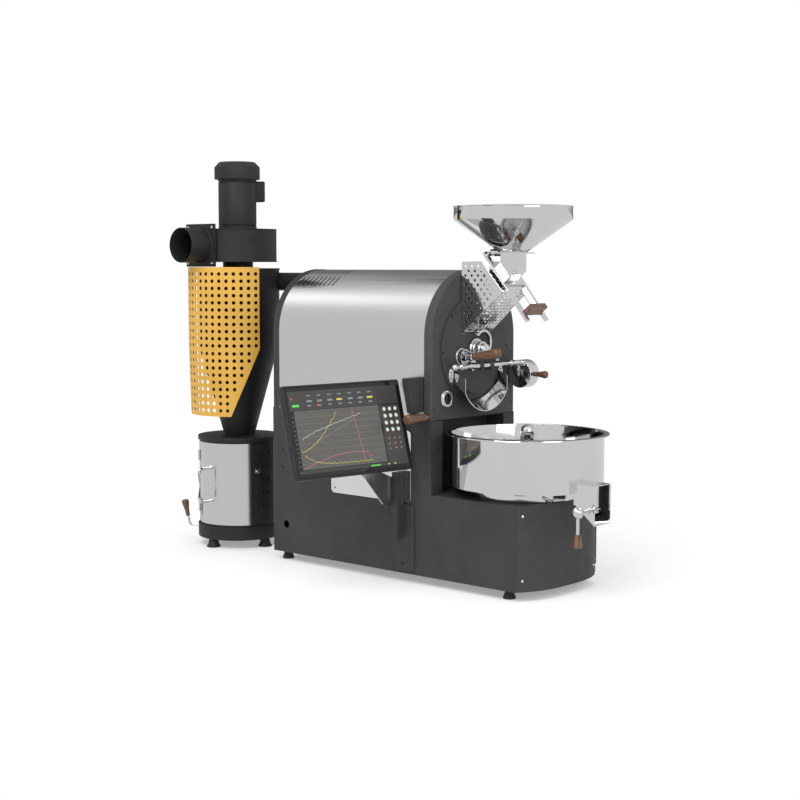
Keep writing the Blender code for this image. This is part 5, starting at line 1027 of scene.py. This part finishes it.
# Display
# A dark housing with rounded edges and a glass front, held by a bent arm.
# The glass shows a generic roast chart, drawn in thin raised strips.
turn = math.radians(-8.3)
recline = math.radians(-15.5)
screen_place = (Matrix.Translation((-0.376, 0.093, 0.419)) @ Matrix.Rotation(turn, 4, "Z")
                @ Matrix.Rotation(recline, 4, "X"))
WIDE, TALL = 0.184, 0.1165
DRAW_WIDE, DRAW_TALL = WIDE - 0.012, TALL - 0.012


def round_rectangle(half_width, half_height, radius, steps=7):
    """A flat rectangle with rounded corners."""
    points = []
    for quarter, (x, y) in enumerate(((1, 1), (-1, 1), (-1, -1), (1, -1))):
        middle_x, middle_y = x * (half_width - radius), y * (half_height - radius)
        points += [(middle_x + radius * math.cos(a), middle_y + radius * math.sin(a))
                   for a in angles(steps, quarter * math.pi / 2, math.pi / 2)]
    return points


rings = []
for inset, depth, corner in ((0.0046, 0.0, 0.003), (0.0026, 0.0, 0.005), (0.0008, 0.0008, 0.006),
                             (0.0, 0.003, 0.006), (0.0, 0.017, 0.006), (0.004, 0.0235, 0.006),
                             (0.012, 0.0272, 0.006), (0.030, 0.028, 0.006)):
    rings.append([(x, depth, z) for x, z in round_rectangle(WIDE - inset, TALL - inset, corner)])
cabinet = loft(rings)
front_face = [face for face in cabinet.faces
              if len(face.verts) > 4 and abs(face.calc_center_median().y) < 1e-5]
bmesh.ops.delete(cabinet, geom=front_face, context="FACES_ONLY")
well = loft([[(x, 0.0, z) for x, z in round_rectangle(WIDE - 0.0046, TALL - 0.0046, 0.003)],
             [(x, 0.0018, z) for x, z in round_rectangle(WIDE - 0.0046, TALL - 0.0046, 0.003)]], capped=False)
lugs = []
for x in (0.0257, -0.0323):
    lugs.append(joined(box((x, 0.0265, -0.016), (x + 0.0066, 0.052, 0.008)),
                       rod((x, 0.052, 0), (x + 0.0066, 0.052, 0), 0.0108)))
vents = [box((-0.07 + index * 0.009, 0.0278, 0.045), (-0.0665 + index * 0.009, 0.0284, 0.085))
         for index in range(16)]
housing = joined(cabinet, well, *lugs)
bmesh.ops.remove_doubles(housing, verts=housing.verts[:], dist=0.00001)
moved(housing, screen_place)
SCREEN_COAT = powder_coat("screen_housing", (0.020, 0.020, 0.021), 0.42)
piece("display_housing", housing, SCREEN_COAT, "display", ["screen"], angle=35)
# Painted shade: the vents are thin near black strips for the shade in their slots.
vent_shade_block = joined(*vents)
moved(vent_shade_block, screen_place)
piece("display_vent_shade", vent_shade_block, SHADE_BLACK, "display")
dress("screen_arm", SATIN, 0.0008)
glass_mat, tree, shader = base("display_glass")
tree.links.new(blend_colours(tree, noise(tree, 18, 2), (0.010, 0.010, 0.011), (0.014, 0.014, 0.015)),
               shader.inputs["Base Color"])
shader.inputs["Roughness"].default_value = 0.05
glass_sheet = loft([[(x, 0.0003, z) for x, z in round_rectangle(WIDE - 0.0055, TALL - 0.0055, 0.003)],
                    [(x, 0.0016, z) for x, z in round_rectangle(WIDE - 0.0055, TALL - 0.0055, 0.003)]])
moved(glass_sheet, screen_place)
piece("display_glass_sheet", glass_sheet, glass_mat, "display", ["screen_glass"], angle=35)


def lit(name, colour, strength):
    """A lit display colour: bright dots over a dim ground, at pixel scale."""
    material, tree, shader = base(name)
    grain = noise(tree, 900, 0)
    dim = tuple(part * 0.82 for part in colour)
    tree.links.new(blend_colours(tree, grain.ramp(0.4, 0.6), dim, colour), shader.inputs["Emission Color"])
    shader.inputs["Emission Strength"].default_value = strength
    shader.inputs["Base Color"].default_value = (0.01, 0.01, 0.01, 1)
    tree.links.new(grain.ramp(0, 1, 0.28, 0.34).socket, shader.inputs["Roughness"])
    return material


def on_screen(shape):
    """Move a shape from the display's own plane to its place."""
    return moved(shape, screen_place)


def panel(low, high, depth):
    """A thin raised area on the display, from -1 to 1 across and up."""
    (x0, z0), (x1, z1) = [(x * DRAW_WIDE, z * DRAW_TALL) for x, z in (low, high)]
    return box((x0, depth - 0.00005, z0), (x1, 0.0003, z1))


def ribbon(points, width, depth):
    """A thin line drawn on the display through points from -1 to 1."""
    shape = bmesh.new()
    points = [Vector((x * DRAW_WIDE, z * DRAW_TALL)) for x, z in points]
    for first, second in zip(points, points[1:]):
        side = (second - first).normalized().orthogonal() * width / 2
        corners = [first + side, second + side, second - side, first - side]
        shape.faces.new([shape.verts.new((point.x, depth, point.y)) for point in corners])
    return shape


CHART_GROUND = lit("chart_ground", (0.115, 0.112, 0.100), 1.0)
PANEL_GROUND = lit("panel_ground", (0.050, 0.048, 0.046), 1.0)
LINE_WHITE = lit("line_white", (0.78, 0.80, 0.76), 1.0)
LINE_GREY = lit("line_grey", (0.28, 0.30, 0.30), 1.0)
LINE_YELLOW = lit("line_yellow", (0.82, 0.74, 0.10), 1.0)
LINE_RED = lit("line_red", (0.86, 0.16, 0.10), 1.0)
LINE_PINK = lit("line_pink", (0.78, 0.20, 0.34), 1.0)
LINE_GREEN = lit("line_green", (0.12, 0.80, 0.10), 1.0)
areas = [("panel_area", [((-0.99, 0.52), (0.99, 0.97)), ((0.62, -0.97), (0.99, 0.50)),
                         ((-0.99, -0.97), (0.60, -0.90))],
          PANEL_GROUND), ("chart_area", [((-0.93, -0.88), (0.60, 0.50))], CHART_GROUND)]
for name, spans, material in areas:
    piece(name, on_screen(joined(*[panel(low, high, 0.00025) for low, high in spans])), material, "display")
grid = [ribbon([(-0.93, z), (0.60, z)], 0.0004, 0.00012)
        for z in [-0.74 + 0.155 * index for index in range(9)]]
piece("chart_grid", on_screen(joined(*grid)), LINE_GREY, "display")
white_line = [(-0.86 + 1.10 * share, -0.18 + 0.52 * share ** 0.75 + 0.012 * math.sin(share * 60))
              for share in [index / 40 for index in range(41)]]
grey_line = [(-0.80 + 0.95 * share, -0.42 + 0.66 * share ** 0.9)
             for share in [index / 30 for index in range(31)]]
yellow_rise = [(-0.90 + 0.72 * share, -0.46 + 0.90 * share ** 1.6 + 0.03 * math.sin(share * 47) * share)
               for share in [index / 44 for index in range(45)]]
yellow_low = [(-0.86 + 1.2 * share, -0.80 + 0.26 * math.exp(-share * 7) + 0.012 * math.sin(share * 80))
              for share in [index / 50 for index in range(51)]]
pink_low = [(-0.90 + 1.25 * share, -0.86 + 0.30 * math.sin(share * 2.2) + (0.0 if share < 0.93 else -0.08))
            for share in [index / 40 for index in range(41)]]
for name, points, width, material in (
        ("curve_white", white_line, 0.0009, LINE_WHITE), ("curve_grey", grey_line, 0.0008, LINE_GREY),
        ("curve_yellow", yellow_rise, 0.0010, LINE_YELLOW), ("curve_low", yellow_low, 0.0009, LINE_YELLOW),
        ("curve_pink", pink_low, 0.0009, LINE_PINK),
        ("marker_red", [(0.10, 0.46), (0.14, 0.0), (0.20, -0.80)], 0.0011, LINE_RED)):
    piece(name, on_screen(ribbon(points, width, 0.00008)), material, "display")
buttons, dots_green, dots_red, dots_yellow, bars = [], [], [], [], []
for row in range(4):
    for column in range(3):
        x, z = 0.70 + column * 0.105, 0.40 - row * 0.17
        disc = turned([(0, -0.0001), (0.0048, -0.0001), (0.0048, 0.0002), (0, 0.0002)],
                      (x * DRAW_WIDE, 0, z * DRAW_TALL), "Y", 24)
        buttons.append(disc)
        if row > 0:
            dots_green.append(panel((x - 0.028, z + 0.02), (x - 0.010, z + 0.05), 0.00004))
for row in range(3):
    for column in range(3):
        x, z = 0.70 + column * 0.105, -0.34 - row * 0.12
        (dots_red if column == 1 else bars).append(panel((x - 0.012, z), (x + 0.014, z + 0.03), 0.0001))
for index in range(7):
    x = -0.62 + index * 0.185
    bars += [panel((x - 0.05, 0.84), (x + 0.02, 0.865), 0.0001),
             panel((x - 0.055, 0.70), (x + 0.035, 0.745), 0.0001)]
    bars.append(panel((x - 0.055, 0.60), (x + 0.01, 0.63), 0.0001))
dots_yellow += [panel((-0.14, 0.70), (-0.06, 0.745), 0.00005), panel((0.42, 0.70), (0.52, 0.745), 0.00005),
                panel((0.60, -0.95), (0.63, -0.92), 0.00005), panel((0.72, -0.95), (0.75, -0.92), 0.00005)]
dots_green += [panel((-0.94, 0.60), (-0.82, 0.655), 0.00005), panel((0.28, -0.955), (0.46, -0.925), 0.00005)]
dots_red += [panel((-0.95, 0.78), (-0.92, 0.81), 0.00005), panel((-0.50, 0.60), (-0.46, 0.63), 0.00005)]
for index in range(12):
    bars.append(panel((-0.975, -0.80 + index * 0.105), (-0.955, -0.785 + index * 0.105), 0.0001))
for name, shapes, material in (("round_buttons", buttons, LINE_WHITE),
                               ("green_marks", dots_green, LINE_GREEN), ("red_marks", dots_red, LINE_RED),
                               ("yellow_marks", dots_yellow, LINE_YELLOW), ("grey_bars", bars, LINE_GREY)):
    piece(name, on_screen(joined(*shapes)), material, "display")

# Smoke pipe and cyclone
# The bright pipe leaves the drum jacket, turns to the rear and enters the cyclone's side.
# A yellow pierced sheet stands round the cyclone on posts, as a guard against its heat.
PIPE_X, PIPE_Z, RISER_Y, PIPE_R = 0.029, 0.774, 0.240, 0.0265
pipe_path = smooth_path([(PIPE_X, RISER_Y, 0.735), (PIPE_X, RISER_Y, PIPE_Z),
                         (PIPE_X, 0.778, PIPE_Z)], 0.034, 12)
collar = turned(rounded_profile([(0.0266, 0.5795), (0.0320, 0.5795), (0.0320, 0.5830),
                                 (0.0266, 0.5830)], 0.0008),
                (PIPE_X, 0, PIPE_Z), "Y", 64)
CYCLONE_COAT = powder_coat("cyclone_coat", (0.016, 0.016, 0.0155), 0.52)
piece("smoke_pipe", swept(pipe_path, PIPE_R - 0.0001, 56), CYCLONE_COAT, "machine",
      ["exhaust_pipe"], angle=40)
piece("pipe_collar", collar, CYCLONE_COAT, "machine", angle=35)

# The cyclone: a rolled cylinder with a beaded top over a cone, on the flat lid of the collector.
cyclone_profile = rounded_profile([(0.0400, 0.8132), (0.1222, 0.8132), (0.1222, 0.8085), (0.1205, 0.8078),
                                   (0.1205, 0.5990), (0.0450, 0.3238), (0.1220, 0.3232), (0.1223, 0.3190),
                                   (0.1223, 0.3112), (0.1180, 0.3112), (0.1180, 0.3212), (0.0430, 0.3212),
                                   (0.1185, 0.5990), (0.1185, 0.8112), (0.0400, 0.8112)],
                                  0.0009)
piece("cyclone_shell", turned(cyclone_profile, CYCLONE, steps=128), CYCLONE_COAT, "machine",
      ["cyclone"], angle=35)

# The heat guard: one yellow rolled sheet with round holes, its skirt cut off on a slant towards the machine.
GUARD_R, GUARD_PITCH, COLUMNS = 0.146, math.radians(8.47), 17
TOP, FOLD, BOTTOM, ROW = 0.8165, 0.5825, 0.388, 0.0205
arc = GUARD_R * GUARD_PITCH
guard = bmesh.new()


def pierced_strip(column, low_left, low_right, top, heights):
    """One strip of the guard, drawn flat, filled round its holes."""
    loops = [[(column * arc, low_left), ((column + 1) * arc, low_right), ((column + 1) * arc, top),
              (column * arc, top)]]
    loops += [ring(((column + 0.5) * arc, height), 0.0054, 20) for height in heights]
    edges = []
    for loop in loops:
        points = [guard.verts.new((x, 0, z)) for x, z in loop]
        edges += [guard.edges.new((a, b)) for a, b in zip(points, points[1:] + points[:1])]
    bmesh.ops.triangle_fill(guard, use_beauty=True, use_dissolve=False, edges=edges)


for column in range(COLUMNS):
    pierced_strip(column, FOLD, FOLD, TOP, [TOP - 0.0195 - ROW * row for row in range(11)])
    lows = [BOTTOM + (FOLD - BOTTOM) * max(0, line - 13) / 4 for line in (column, column + 1)]
    heights = [TOP - 0.0195 - ROW * 10 - 0.0227 - ROW * row for row in range(9)]
    heights = [height for height in heights if height - ROW / 2 > max(lows)]
    if max(lows) < FOLD - 1e-4:
        pierced_strip(column, *lows, FOLD, heights)
    else:
        slanted = ((column * arc, lows[0]), ((column + 1) * arc, FOLD), (column * arc, FOLD))
        corner = [guard.verts.new((x, 0, z)) for x, z in slanted]
        guard.faces.new(corner)
bmesh.ops.remove_doubles(guard, verts=guard.verts[:], dist=0.00002)
made = bmesh.ops.extrude_face_region(guard, geom=guard.faces[:], use_keep_orig=True)
for item in made["geom"]:
    if isinstance(item, bmesh.types.BMVert):
        item.co.y = 0.0015
for vertex in guard.verts:
    turn_by = math.pi + (vertex.co.x / arc - COLUMNS / 2) * GUARD_PITCH
    taper = 0.005 * max(0, (FOLD - vertex.co.z) / (FOLD - BOTTOM))
    reach = GUARD_R - taper - vertex.co.y - 0.0004
    vertex.co = CYCLONE + Vector((reach * math.cos(turn_by), reach * math.sin(turn_by), vertex.co.z))
bmesh.ops.recalc_face_normals(guard, faces=guard.faces[:])
posts = []
for column in (-4.5, 4.5):
    turn_by = math.pi + column * GUARD_PITCH
    reach = Vector((math.cos(turn_by), math.sin(turn_by), 0))
    for height in (TOP - 0.0195 - ROW * 1.5, TOP - 0.0195 - ROW * 9.5):
        lift_up = CYCLONE + Vector((0, 0, height))
        posts.append(rod(lift_up + reach * 0.1207, lift_up + reach * 0.1448, 0.0030))
YELLOW = powder_coat("yellow_coat_paint", (0.62, 0.35, 0.062), 0.46)
piece("guard_sheet", guard, YELLOW, "machine", ["cyclone_guard"], angle=40)
piece("guard_posts", joined(*posts), CYCLONE_COAT, "machine", angle=40)

# Exhaust fan
# A seamed round housing with a square outlet and a short round stub, with its motor above.
# The outlet's flanges are held by four screws.
fan_profile = rounded_profile([(0.0420, 0.8133), (0.0440, 0.8133), (0.0440, 0.8312), (0.1150, 0.8312),
                               (0.1150, 0.8335), (0.1132, 0.8345), (0.1132, 0.9240), (0.1150, 0.9250),
                               (0.1150, 0.9269), (0.0070, 0.9269), (0.0070, 0.9250), (0.1110, 0.9250),
                               (0.1110, 0.8330), (0.0420, 0.8330)], 0.0007)
fan_round = turned(fan_profile, CYCLONE, steps=128)
MOUTH_Y, MOUTH_Z = 0.868, 0.879
duct_walls = [box((-0.1790, 0.823, 0.8311), (-0.0900, 0.825, 0.9268)),
              box((-0.1790, 0.911, 0.8311), (-0.0900, 0.913, 0.9268)),
              box((-0.1790, 0.823, 0.8311), (-0.0900, 0.913, 0.8330)),
              box((-0.1790, 0.823, 0.9250), (-0.0900, 0.913, 0.9269))]
bolt_at = [(MOUTH_Y + y, MOUTH_Z + z) for y in (-0.0515, 0.0515) for z in (-0.0515, 0.0515)]
square = round_rectangle(0.0614, 0.0614, 0.003, 4)
square = [(MOUTH_Y + y, MOUTH_Z + z) for y, z in square]
inner_flange = sheet(square, [ring((MOUTH_Y, MOUTH_Z), 0.0440, 64)]
                     + [ring(place, 0.003, 20) for place in bolt_at], 0.0030, along("X", (-0.1795, 0, 0)))
piece("fan_scroll", joined(fan_round, *duct_walls, inner_flange), CYCLONE_COAT, "machine", ["fan_housing"],
      bevel=0.0004, angle=35)
outer_flange = sheet(square, [ring((MOUTH_Y, MOUTH_Z), 0.0480, 96)]
                     + [ring(place, 0.003, 20) for place in bolt_at], 0.0026, along("X", (-0.1825, 0, 0)))
stub = turned(rounded_profile([(0.0480, -0.1799), (0.0480, -0.2553), (0.0500, -0.2553),
                               (0.0500, -0.1799)], 0.0007),
              (0, MOUTH_Y, MOUTH_Z), "X", 96)
weld = turned(rounded_profile([(0.0499, -0.1824), (0.0518, -0.1824), (0.0499, -0.1846)], 0.0006),
              (0, MOUTH_Y, MOUTH_Z), "X", 96)
piece("outlet_stub", joined(outer_flange, stub, weld), CYCLONE_COAT, "machine", ["outlet_duct"], angle=35)
piece("outlet_screws", screw_heads([(-0.1826, y, z) for y, z in bolt_at], (-1, 0, 0), 0.0046, 0.0030),
      SCREW_STEEL, "machine")

# The fan's motor: a smooth round body, a pressed cowl with a chamfered edge, and a terminal box.
motor_profile = [(0, 0.9273), (0.0556, 0.9273), (0.0556, 0.9360), (0.0530, 0.9375)]
motor_profile += [(0.0552, 0.9390), (0.0552, 1.0600), (0.0530, 1.0640), (0.0556, 1.0655), (0.0556, 1.0715),
                  (0.0661, 1.0715), (0.0661, 1.1035), (0.0655, 1.1067), (0.0530, 1.1200),
                  (0.0511, 1.1210), (0, 1.1210)]
motor = turned(motor_profile, CYCLONE, steps=96)


def terminal_ring(setback, inset):
    """One outline of the terminal box, at a distance in front of the motor's axis."""
    outline = round_rectangle(0.020 - inset, 0.030 - inset, 0.004, 5)
    return [(CYCLONE.x + x, CYCLONE.y - setback, 1.037 + z) for x, z in outline]


terminal = loft([terminal_ring(0.0796 - inset * 0.4, inset) for inset in (0.0022, 0.0008)]
                + [terminal_ring(setback, 0) for setback in (0.0780, 0.0500)])
terminal_lid = loft([terminal_ring(setback, 0.0024) for setback in (0.0792, 0.0780)])
gland = rod((CYCLONE.x, CYCLONE.y - 0.066, 1.0072), (CYCLONE.x, CYCLONE.y - 0.066, 1.0120), 0.0075)
terminal_box = joined(terminal, terminal_lid, gland)
turn_round = (Matrix.Translation(CYCLONE) @ Matrix.Rotation(math.radians(70), 4, "Z")
              @ Matrix.Translation(-CYCLONE))
moved(terminal_box, turn_round)
piece("fan_motor_body", joined(motor, terminal_box), CYCLONE_COAT, "machine", ["fan_motor"], angle=32)
# Painted shade: the cowl's slots are thin near black plates laid on its top, for the shade in them.
cowl_slot_shade = []
for index in range(24):
    turn_by = math.tau * index / 24
    slot = sheet(slot_outline((0, 0), 0.013, 0.0017), [], 0.0003,
                 Matrix.Translation(CYCLONE + Vector((0, 0, 1.12085)))
                 @ Matrix.Rotation(turn_by, 4, "Z") @ Matrix.Translation((0.034, 0, 0)))
    cowl_slot_shade.append(slot)
piece("cowl_slot_shade", joined(*cowl_slot_shade), SHADE_BLACK, "machine")

# Chaff collector
# A rolled shell with a louvred side, and a bright curved door with a bar pull.
# It stands on a flat base with stub feet.
SHELL_R, SHELL_LOW, SHELL_TOP = 0.1184, 0.0640, 0.3108


def rolled(loops, depth, radius):
    """A sheet drawn flat as (angle, height), filled round its holes and rolled onto the collector."""
    shape = bmesh.new()
    edges = []
    for loop in loops:
        points = [shape.verts.new((turn_by * radius, 0, height)) for turn_by, height in loop]
        edges += [shape.edges.new((a, b)) for a, b in zip(points, points[1:] + points[:1])]
    bmesh.ops.triangle_fill(shape, use_beauty=True, use_dissolve=False, edges=edges)
    span = [point.co.x for point in shape.verts]
    cuts = max(2, int((max(span) - min(span)) / radius / math.radians(3)))
    for index in range(1, cuts):
        x = min(span) + (max(span) - min(span)) * index / cuts
        geometry = shape.verts[:] + shape.edges[:] + shape.faces[:]
        bmesh.ops.bisect_plane(shape, geom=geometry, plane_co=(x, 0, 0), plane_no=(1, 0, 0))
    made = bmesh.ops.extrude_face_region(shape, geom=shape.faces[:], use_keep_orig=True)
    for item in made["geom"]:
        if isinstance(item, bmesh.types.BMVert):
            item.co.y = depth
    for vertex in shape.verts:
        turn_by = vertex.co.x / radius
        reach = radius - vertex.co.y
        vertex.co = CYCLONE + Vector((reach * math.cos(turn_by), reach * math.sin(turn_by), vertex.co.z))
    bmesh.ops.recalc_face_normals(shape, faces=shape.faces[:])
    return shape


def band(start, end, low, high):
    """A rectangle in angle (degrees) and height."""
    start, end = math.radians(start), math.radians(end)
    return [(start, low), (end, low), (end, high), (start, high)]


louvre_tilt = math.radians(59)
louvre_places = [(math.radians(column), 0.296 - 0.0385 * (row + 0.5))
                 for row in range(5) for column in (263, 268.4, 273.8)]
louvre_loops = []
for middle_turn, middle_height in louvre_places:
    outline = slot_outline((0, 0), 0.0075, 0.0020, -louvre_tilt)
    louvre_loops.append([(middle_turn + x / SHELL_R, middle_height + z) for x, z in outline])
rear_shell = rolled([band(244.3, 507.7, SHELL_LOW, SHELL_TOP)] + louvre_loops, 0.0014, SHELL_R - 0.0001)
piece("collector_shell", rear_shell, CYCLONE_COAT, "machine", ["collector_drum"], angle=35)
sill = joined(rolled([band(147.7, 244.3, SHELL_LOW, SHELL_LOW + 0.0040)], 0.0014, SHELL_R - 0.0001),
              rolled([band(147.7, 244.3, SHELL_TOP - 0.0040, SHELL_TOP)], 0.0014, SHELL_R - 0.0001),
              rolled([band(144.0, 147.7, SHELL_LOW, SHELL_TOP)], 0.0024, SHELL_R - 0.0001))
piece("collector_sills", sill, CYCLONE_COAT, "machine", angle=35)

# Each louvre is pressed outwards a little along the lower edge of its slot.
hoods = []
for middle_turn, middle_height in louvre_places:
    place = (Matrix.Translation(CYCLONE + Vector((0, 0, middle_height)))
             @ Matrix.Rotation(middle_turn, 4, "Z") @ Matrix.Translation((SHELL_R - 0.0010, 0, 0))
             @ Matrix.Rotation(-louvre_tilt, 4, "X"))
    hood = turned_along((0, -0.0085, 0.0031), (0, 0.0085, 0.0031),
                        [(0, 0.0004), (0.1, 0.0018), (0.9, 0.0018), (1, 0.0004)], 12)
    hoods.append(moved(hood, place))
piece("louvre_hoods", joined(*hoods), CYCLONE_COAT, "machine", angle=50)
edge_strip = rolled([band(283.2, 286.0, SHELL_LOW + 0.002, SHELL_TOP - 0.002)], 0.0020, SHELL_R + 0.0006)
SATIN_TALL = brushed("satin_collector", (0.67, 0.67, 0.675), 0.17, (900, 900, 6), 0.012)
piece("shell_edge_strip", edge_strip, SATIN_TALL, "machine", angle=35)
latch = box((-0.0055, -0.0075, -0.0065), (0.0, 0.0075, 0.0065))
latch_knob = rod((-0.001, 0, 0), (0.0046, 0, 0), 0.0046)
latch_place = (Matrix.Translation(CYCLONE + Vector((0, 0, 0.226)))
               @ Matrix.Rotation(math.radians(252.5), 4, "Z")
               @ Matrix.Translation((SHELL_R + 0.0048, 0, 0)))
latch_set = joined(latch, latch_knob)
moved(latch_set, latch_place)
piece("door_catch", latch_set, CHROME, "machine", bevel=0.0008)
door_sheet = rolled([band(148.4, 243.6, SHELL_LOW + 0.0043, SHELL_TOP - 0.0043)], 0.0014, SHELL_R - 0.0001)
pull_path = [CYCLONE + Vector((-radius, 0, height))
             for radius, height in ((0.1181, 0.137), (0.1584, 0.137), (0.1584, 0.234), (0.1181, 0.234))]
pull = swept(smooth_path(pull_path, 0.012, 8), 0.0045, 24)
washers = [rod(CYCLONE + Vector((-0.1180, 0, height)), CYCLONE + Vector((-0.1196, 0, height)), 0.0078)
           for height in (0.137, 0.234)]
piece("curved_door", door_sheet, SATIN_TALL, "chaff_door", ["collector_door"], angle=35)
piece("door_pull", joined(pull, *washers), CHROME, "chaff_door", angle=40)
hinge_at = CYCLONE + Matrix.Rotation(math.radians(148), 3, "Z") @ Vector((SHELL_R + 0.0030, 0, 0))
knuckles = [rod(hinge_at + Vector((0, 0, low)), hinge_at + Vector((0, 0, low + 0.030)), 0.0028)
            for low in (0.098, 0.250)]
piece("door_knuckles", joined(*knuckles), CHROME, "machine", angle=40)
base_profile = rounded_profile([(0, 0.0242), (0.1222, 0.0242), (0.1236, 0.0262), (0.1236, 0.0636),
                                (0.1144, 0.0636), (0.1144, 0.0617), (0.1216, 0.0617), (0.1216, 0.0262),
                                (0, 0.0262)], 0.0010)
cup = turned(base_profile, CYCLONE, steps=128)
feet = []
foot_cone = [(0, 0.0), (0.0195, 0.0), (0.0205, 0.0010), (0.0203, 0.0035), (0.0160, 0.0095),
             (0.0130, 0.0240), (0, 0.0240)]
for turn_by in angles(4):
    foot_place = CYCLONE + Vector((0.106 * math.cos(turn_by), 0.106 * math.sin(turn_by), 0))
    feet.append(turned(foot_cone, foot_place, steps=40))
piece("collector_cup", joined(cup, *feet), CYCLONE_COAT, "machine", ["collector_base"], angle=35)

# Parts inside
# What little shows through the openings: the drum, its jacket, its bearing and motor, the burner
# and the fan wheel. They are plain steel and keep their solids.
PLAIN = brushed("plain_metal", (0.42, 0.42, 0.43), 0.42, (200, 200, 200))
for name in ("roasting_drum", "drum_bearing", "burner", "fan_impeller", "drum_housing"):
    dress(name, PLAIN)
for name in ("drum_motor", "stirrer_motor"):
    dress(name, SCREW_BLACK, 0.0008)

# Floor, world and lamps
# A plain pale floor that keeps the shadow, an even white surround, and one soft lamp from the upper left.
floor_mesh = bpy.data.meshes.new("floor")
floor_shape = bmesh.new()
bmesh.ops.create_grid(floor_shape, x_segments=1, y_segments=1, size=14)
floor_shape.to_mesh(floor_mesh)
floor_shape.free()
floor = bpy.data.objects.new("floor", floor_mesh)
bpy.context.scene.collection.objects.link(floor)
floor_paint = bpy.data.materials.new("floor_paint")
floor_paint.use_nodes = True
floor_tree = floor_paint.node_tree
floor_tree.nodes.clear()
matte = shader_node(floor_tree, "BsdfDiffuse", {"Color": (0.80, 0.80, 0.80, 1)})
glow = shader_node(floor_tree, "Emission", {"Strength": 0.30})
near_floor = shader_node(floor_tree, "AddShader", {0: matte.outputs[0], 1: glow.outputs[0]})
far_floor = shader_node(floor_tree, "Emission", {"Strength": 1.0})
mirrored_floor = shader_node(floor_tree, "Emission", {"Strength": 0.75})
floor_place = shader_node(floor_tree, "SeparateXYZ", {0: coordinates(floor_tree)})
floor_x, floor_y = Value(floor_tree, floor_place.outputs[0]), Value(floor_tree, floor_place.outputs[1])
floor_reach = (floor_x * floor_x + floor_y * floor_y).math("SQRT").ramp(0.62, 1.35)
rays = shader_node(floor_tree, "LightPath")
far_share = floor_reach * Value(floor_tree, rays.outputs["Is Camera Ray"])
seen_floor = shader_node(floor_tree, "MixShader",
                         {0: far_share, 1: near_floor.outputs[0], 2: far_floor.outputs[0]})
whole_floor = shader_node(floor_tree, "MixShader", {0: rays.outputs["Is Glossy Ray"],
                                                    1: seen_floor.outputs[0], 2: mirrored_floor.outputs[0]})
shader_node(floor_tree, "OutputMaterial", {"Surface": whole_floor.outputs[0]})
floor_mesh.materials.append(floor_paint)
world = bpy.data.worlds.new("studio")
bpy.context.scene.world = world
world.use_nodes = True
world_tree = world.node_tree
world_tree.nodes.clear()
world_rays = shader_node(world_tree, "LightPath")
camera_ray, clear_ray, glossy_ray = [Value(world_tree, world_rays.outputs[f"Is {kind} Ray"])
                                     for kind in ("Camera", "Transmission", "Glossy")]
seen = camera_ray.math("MAXIMUM", clear_ray)
direction = shader_node(world_tree, "TexCoord")
parts_of = shader_node(world_tree, "SeparateXYZ", {0: direction.outputs["Generated"]})
sideways, forwards, height = [Value(world_tree, part) for part in parts_of.outputs]
far_side = (sideways + forwards) * 0.7071
lamp_side = (sideways * -0.269 + forwards * 0.747 + height * 0.608).math("MAXIMUM", 0.0)
mirror_level = far_side.ramp(0.45, 0.93, 0.75, 0.20) + lamp_side.math("POWER", 65.0)
level = seen.math("MAXIMUM", glossy_ray * mirror_level)
ambient = 0.72 * (1 - seen.math("MAXIMUM", glossy_ray))
backdrop = shader_node(world_tree, "Background", {"Color": (1, 1, 1, 1), "Strength": level + ambient})
shader_node(world_tree, "OutputWorld", {"Surface": backdrop.outputs[0]})


def area_lamp(name, location, target, width, depth, power):
    """A soft rectangular lamp aimed at a point."""
    data = bpy.data.lights.new(name, "AREA")
    data.shape, data.size, data.size_y, data.energy = "RECTANGLE", width, depth, power
    lamp = bpy.data.objects.new(name, data)
    bpy.context.scene.collection.objects.link(lamp)
    lamp.location = Vector(location)
    lamp.rotation_euler = (Vector(target) - Vector(location)).to_track_quat("-Z", "Y").to_euler()
    return lamp


area_lamp("key", (-2.4, -0.6, 3.2), (0, 0, 0.5), 2.2, 2.2, 62)
area_lamp("front_fill", (-0.8, -3.4, 1.8), (0, 0, 0.5), 1.8, 1.8, 26)
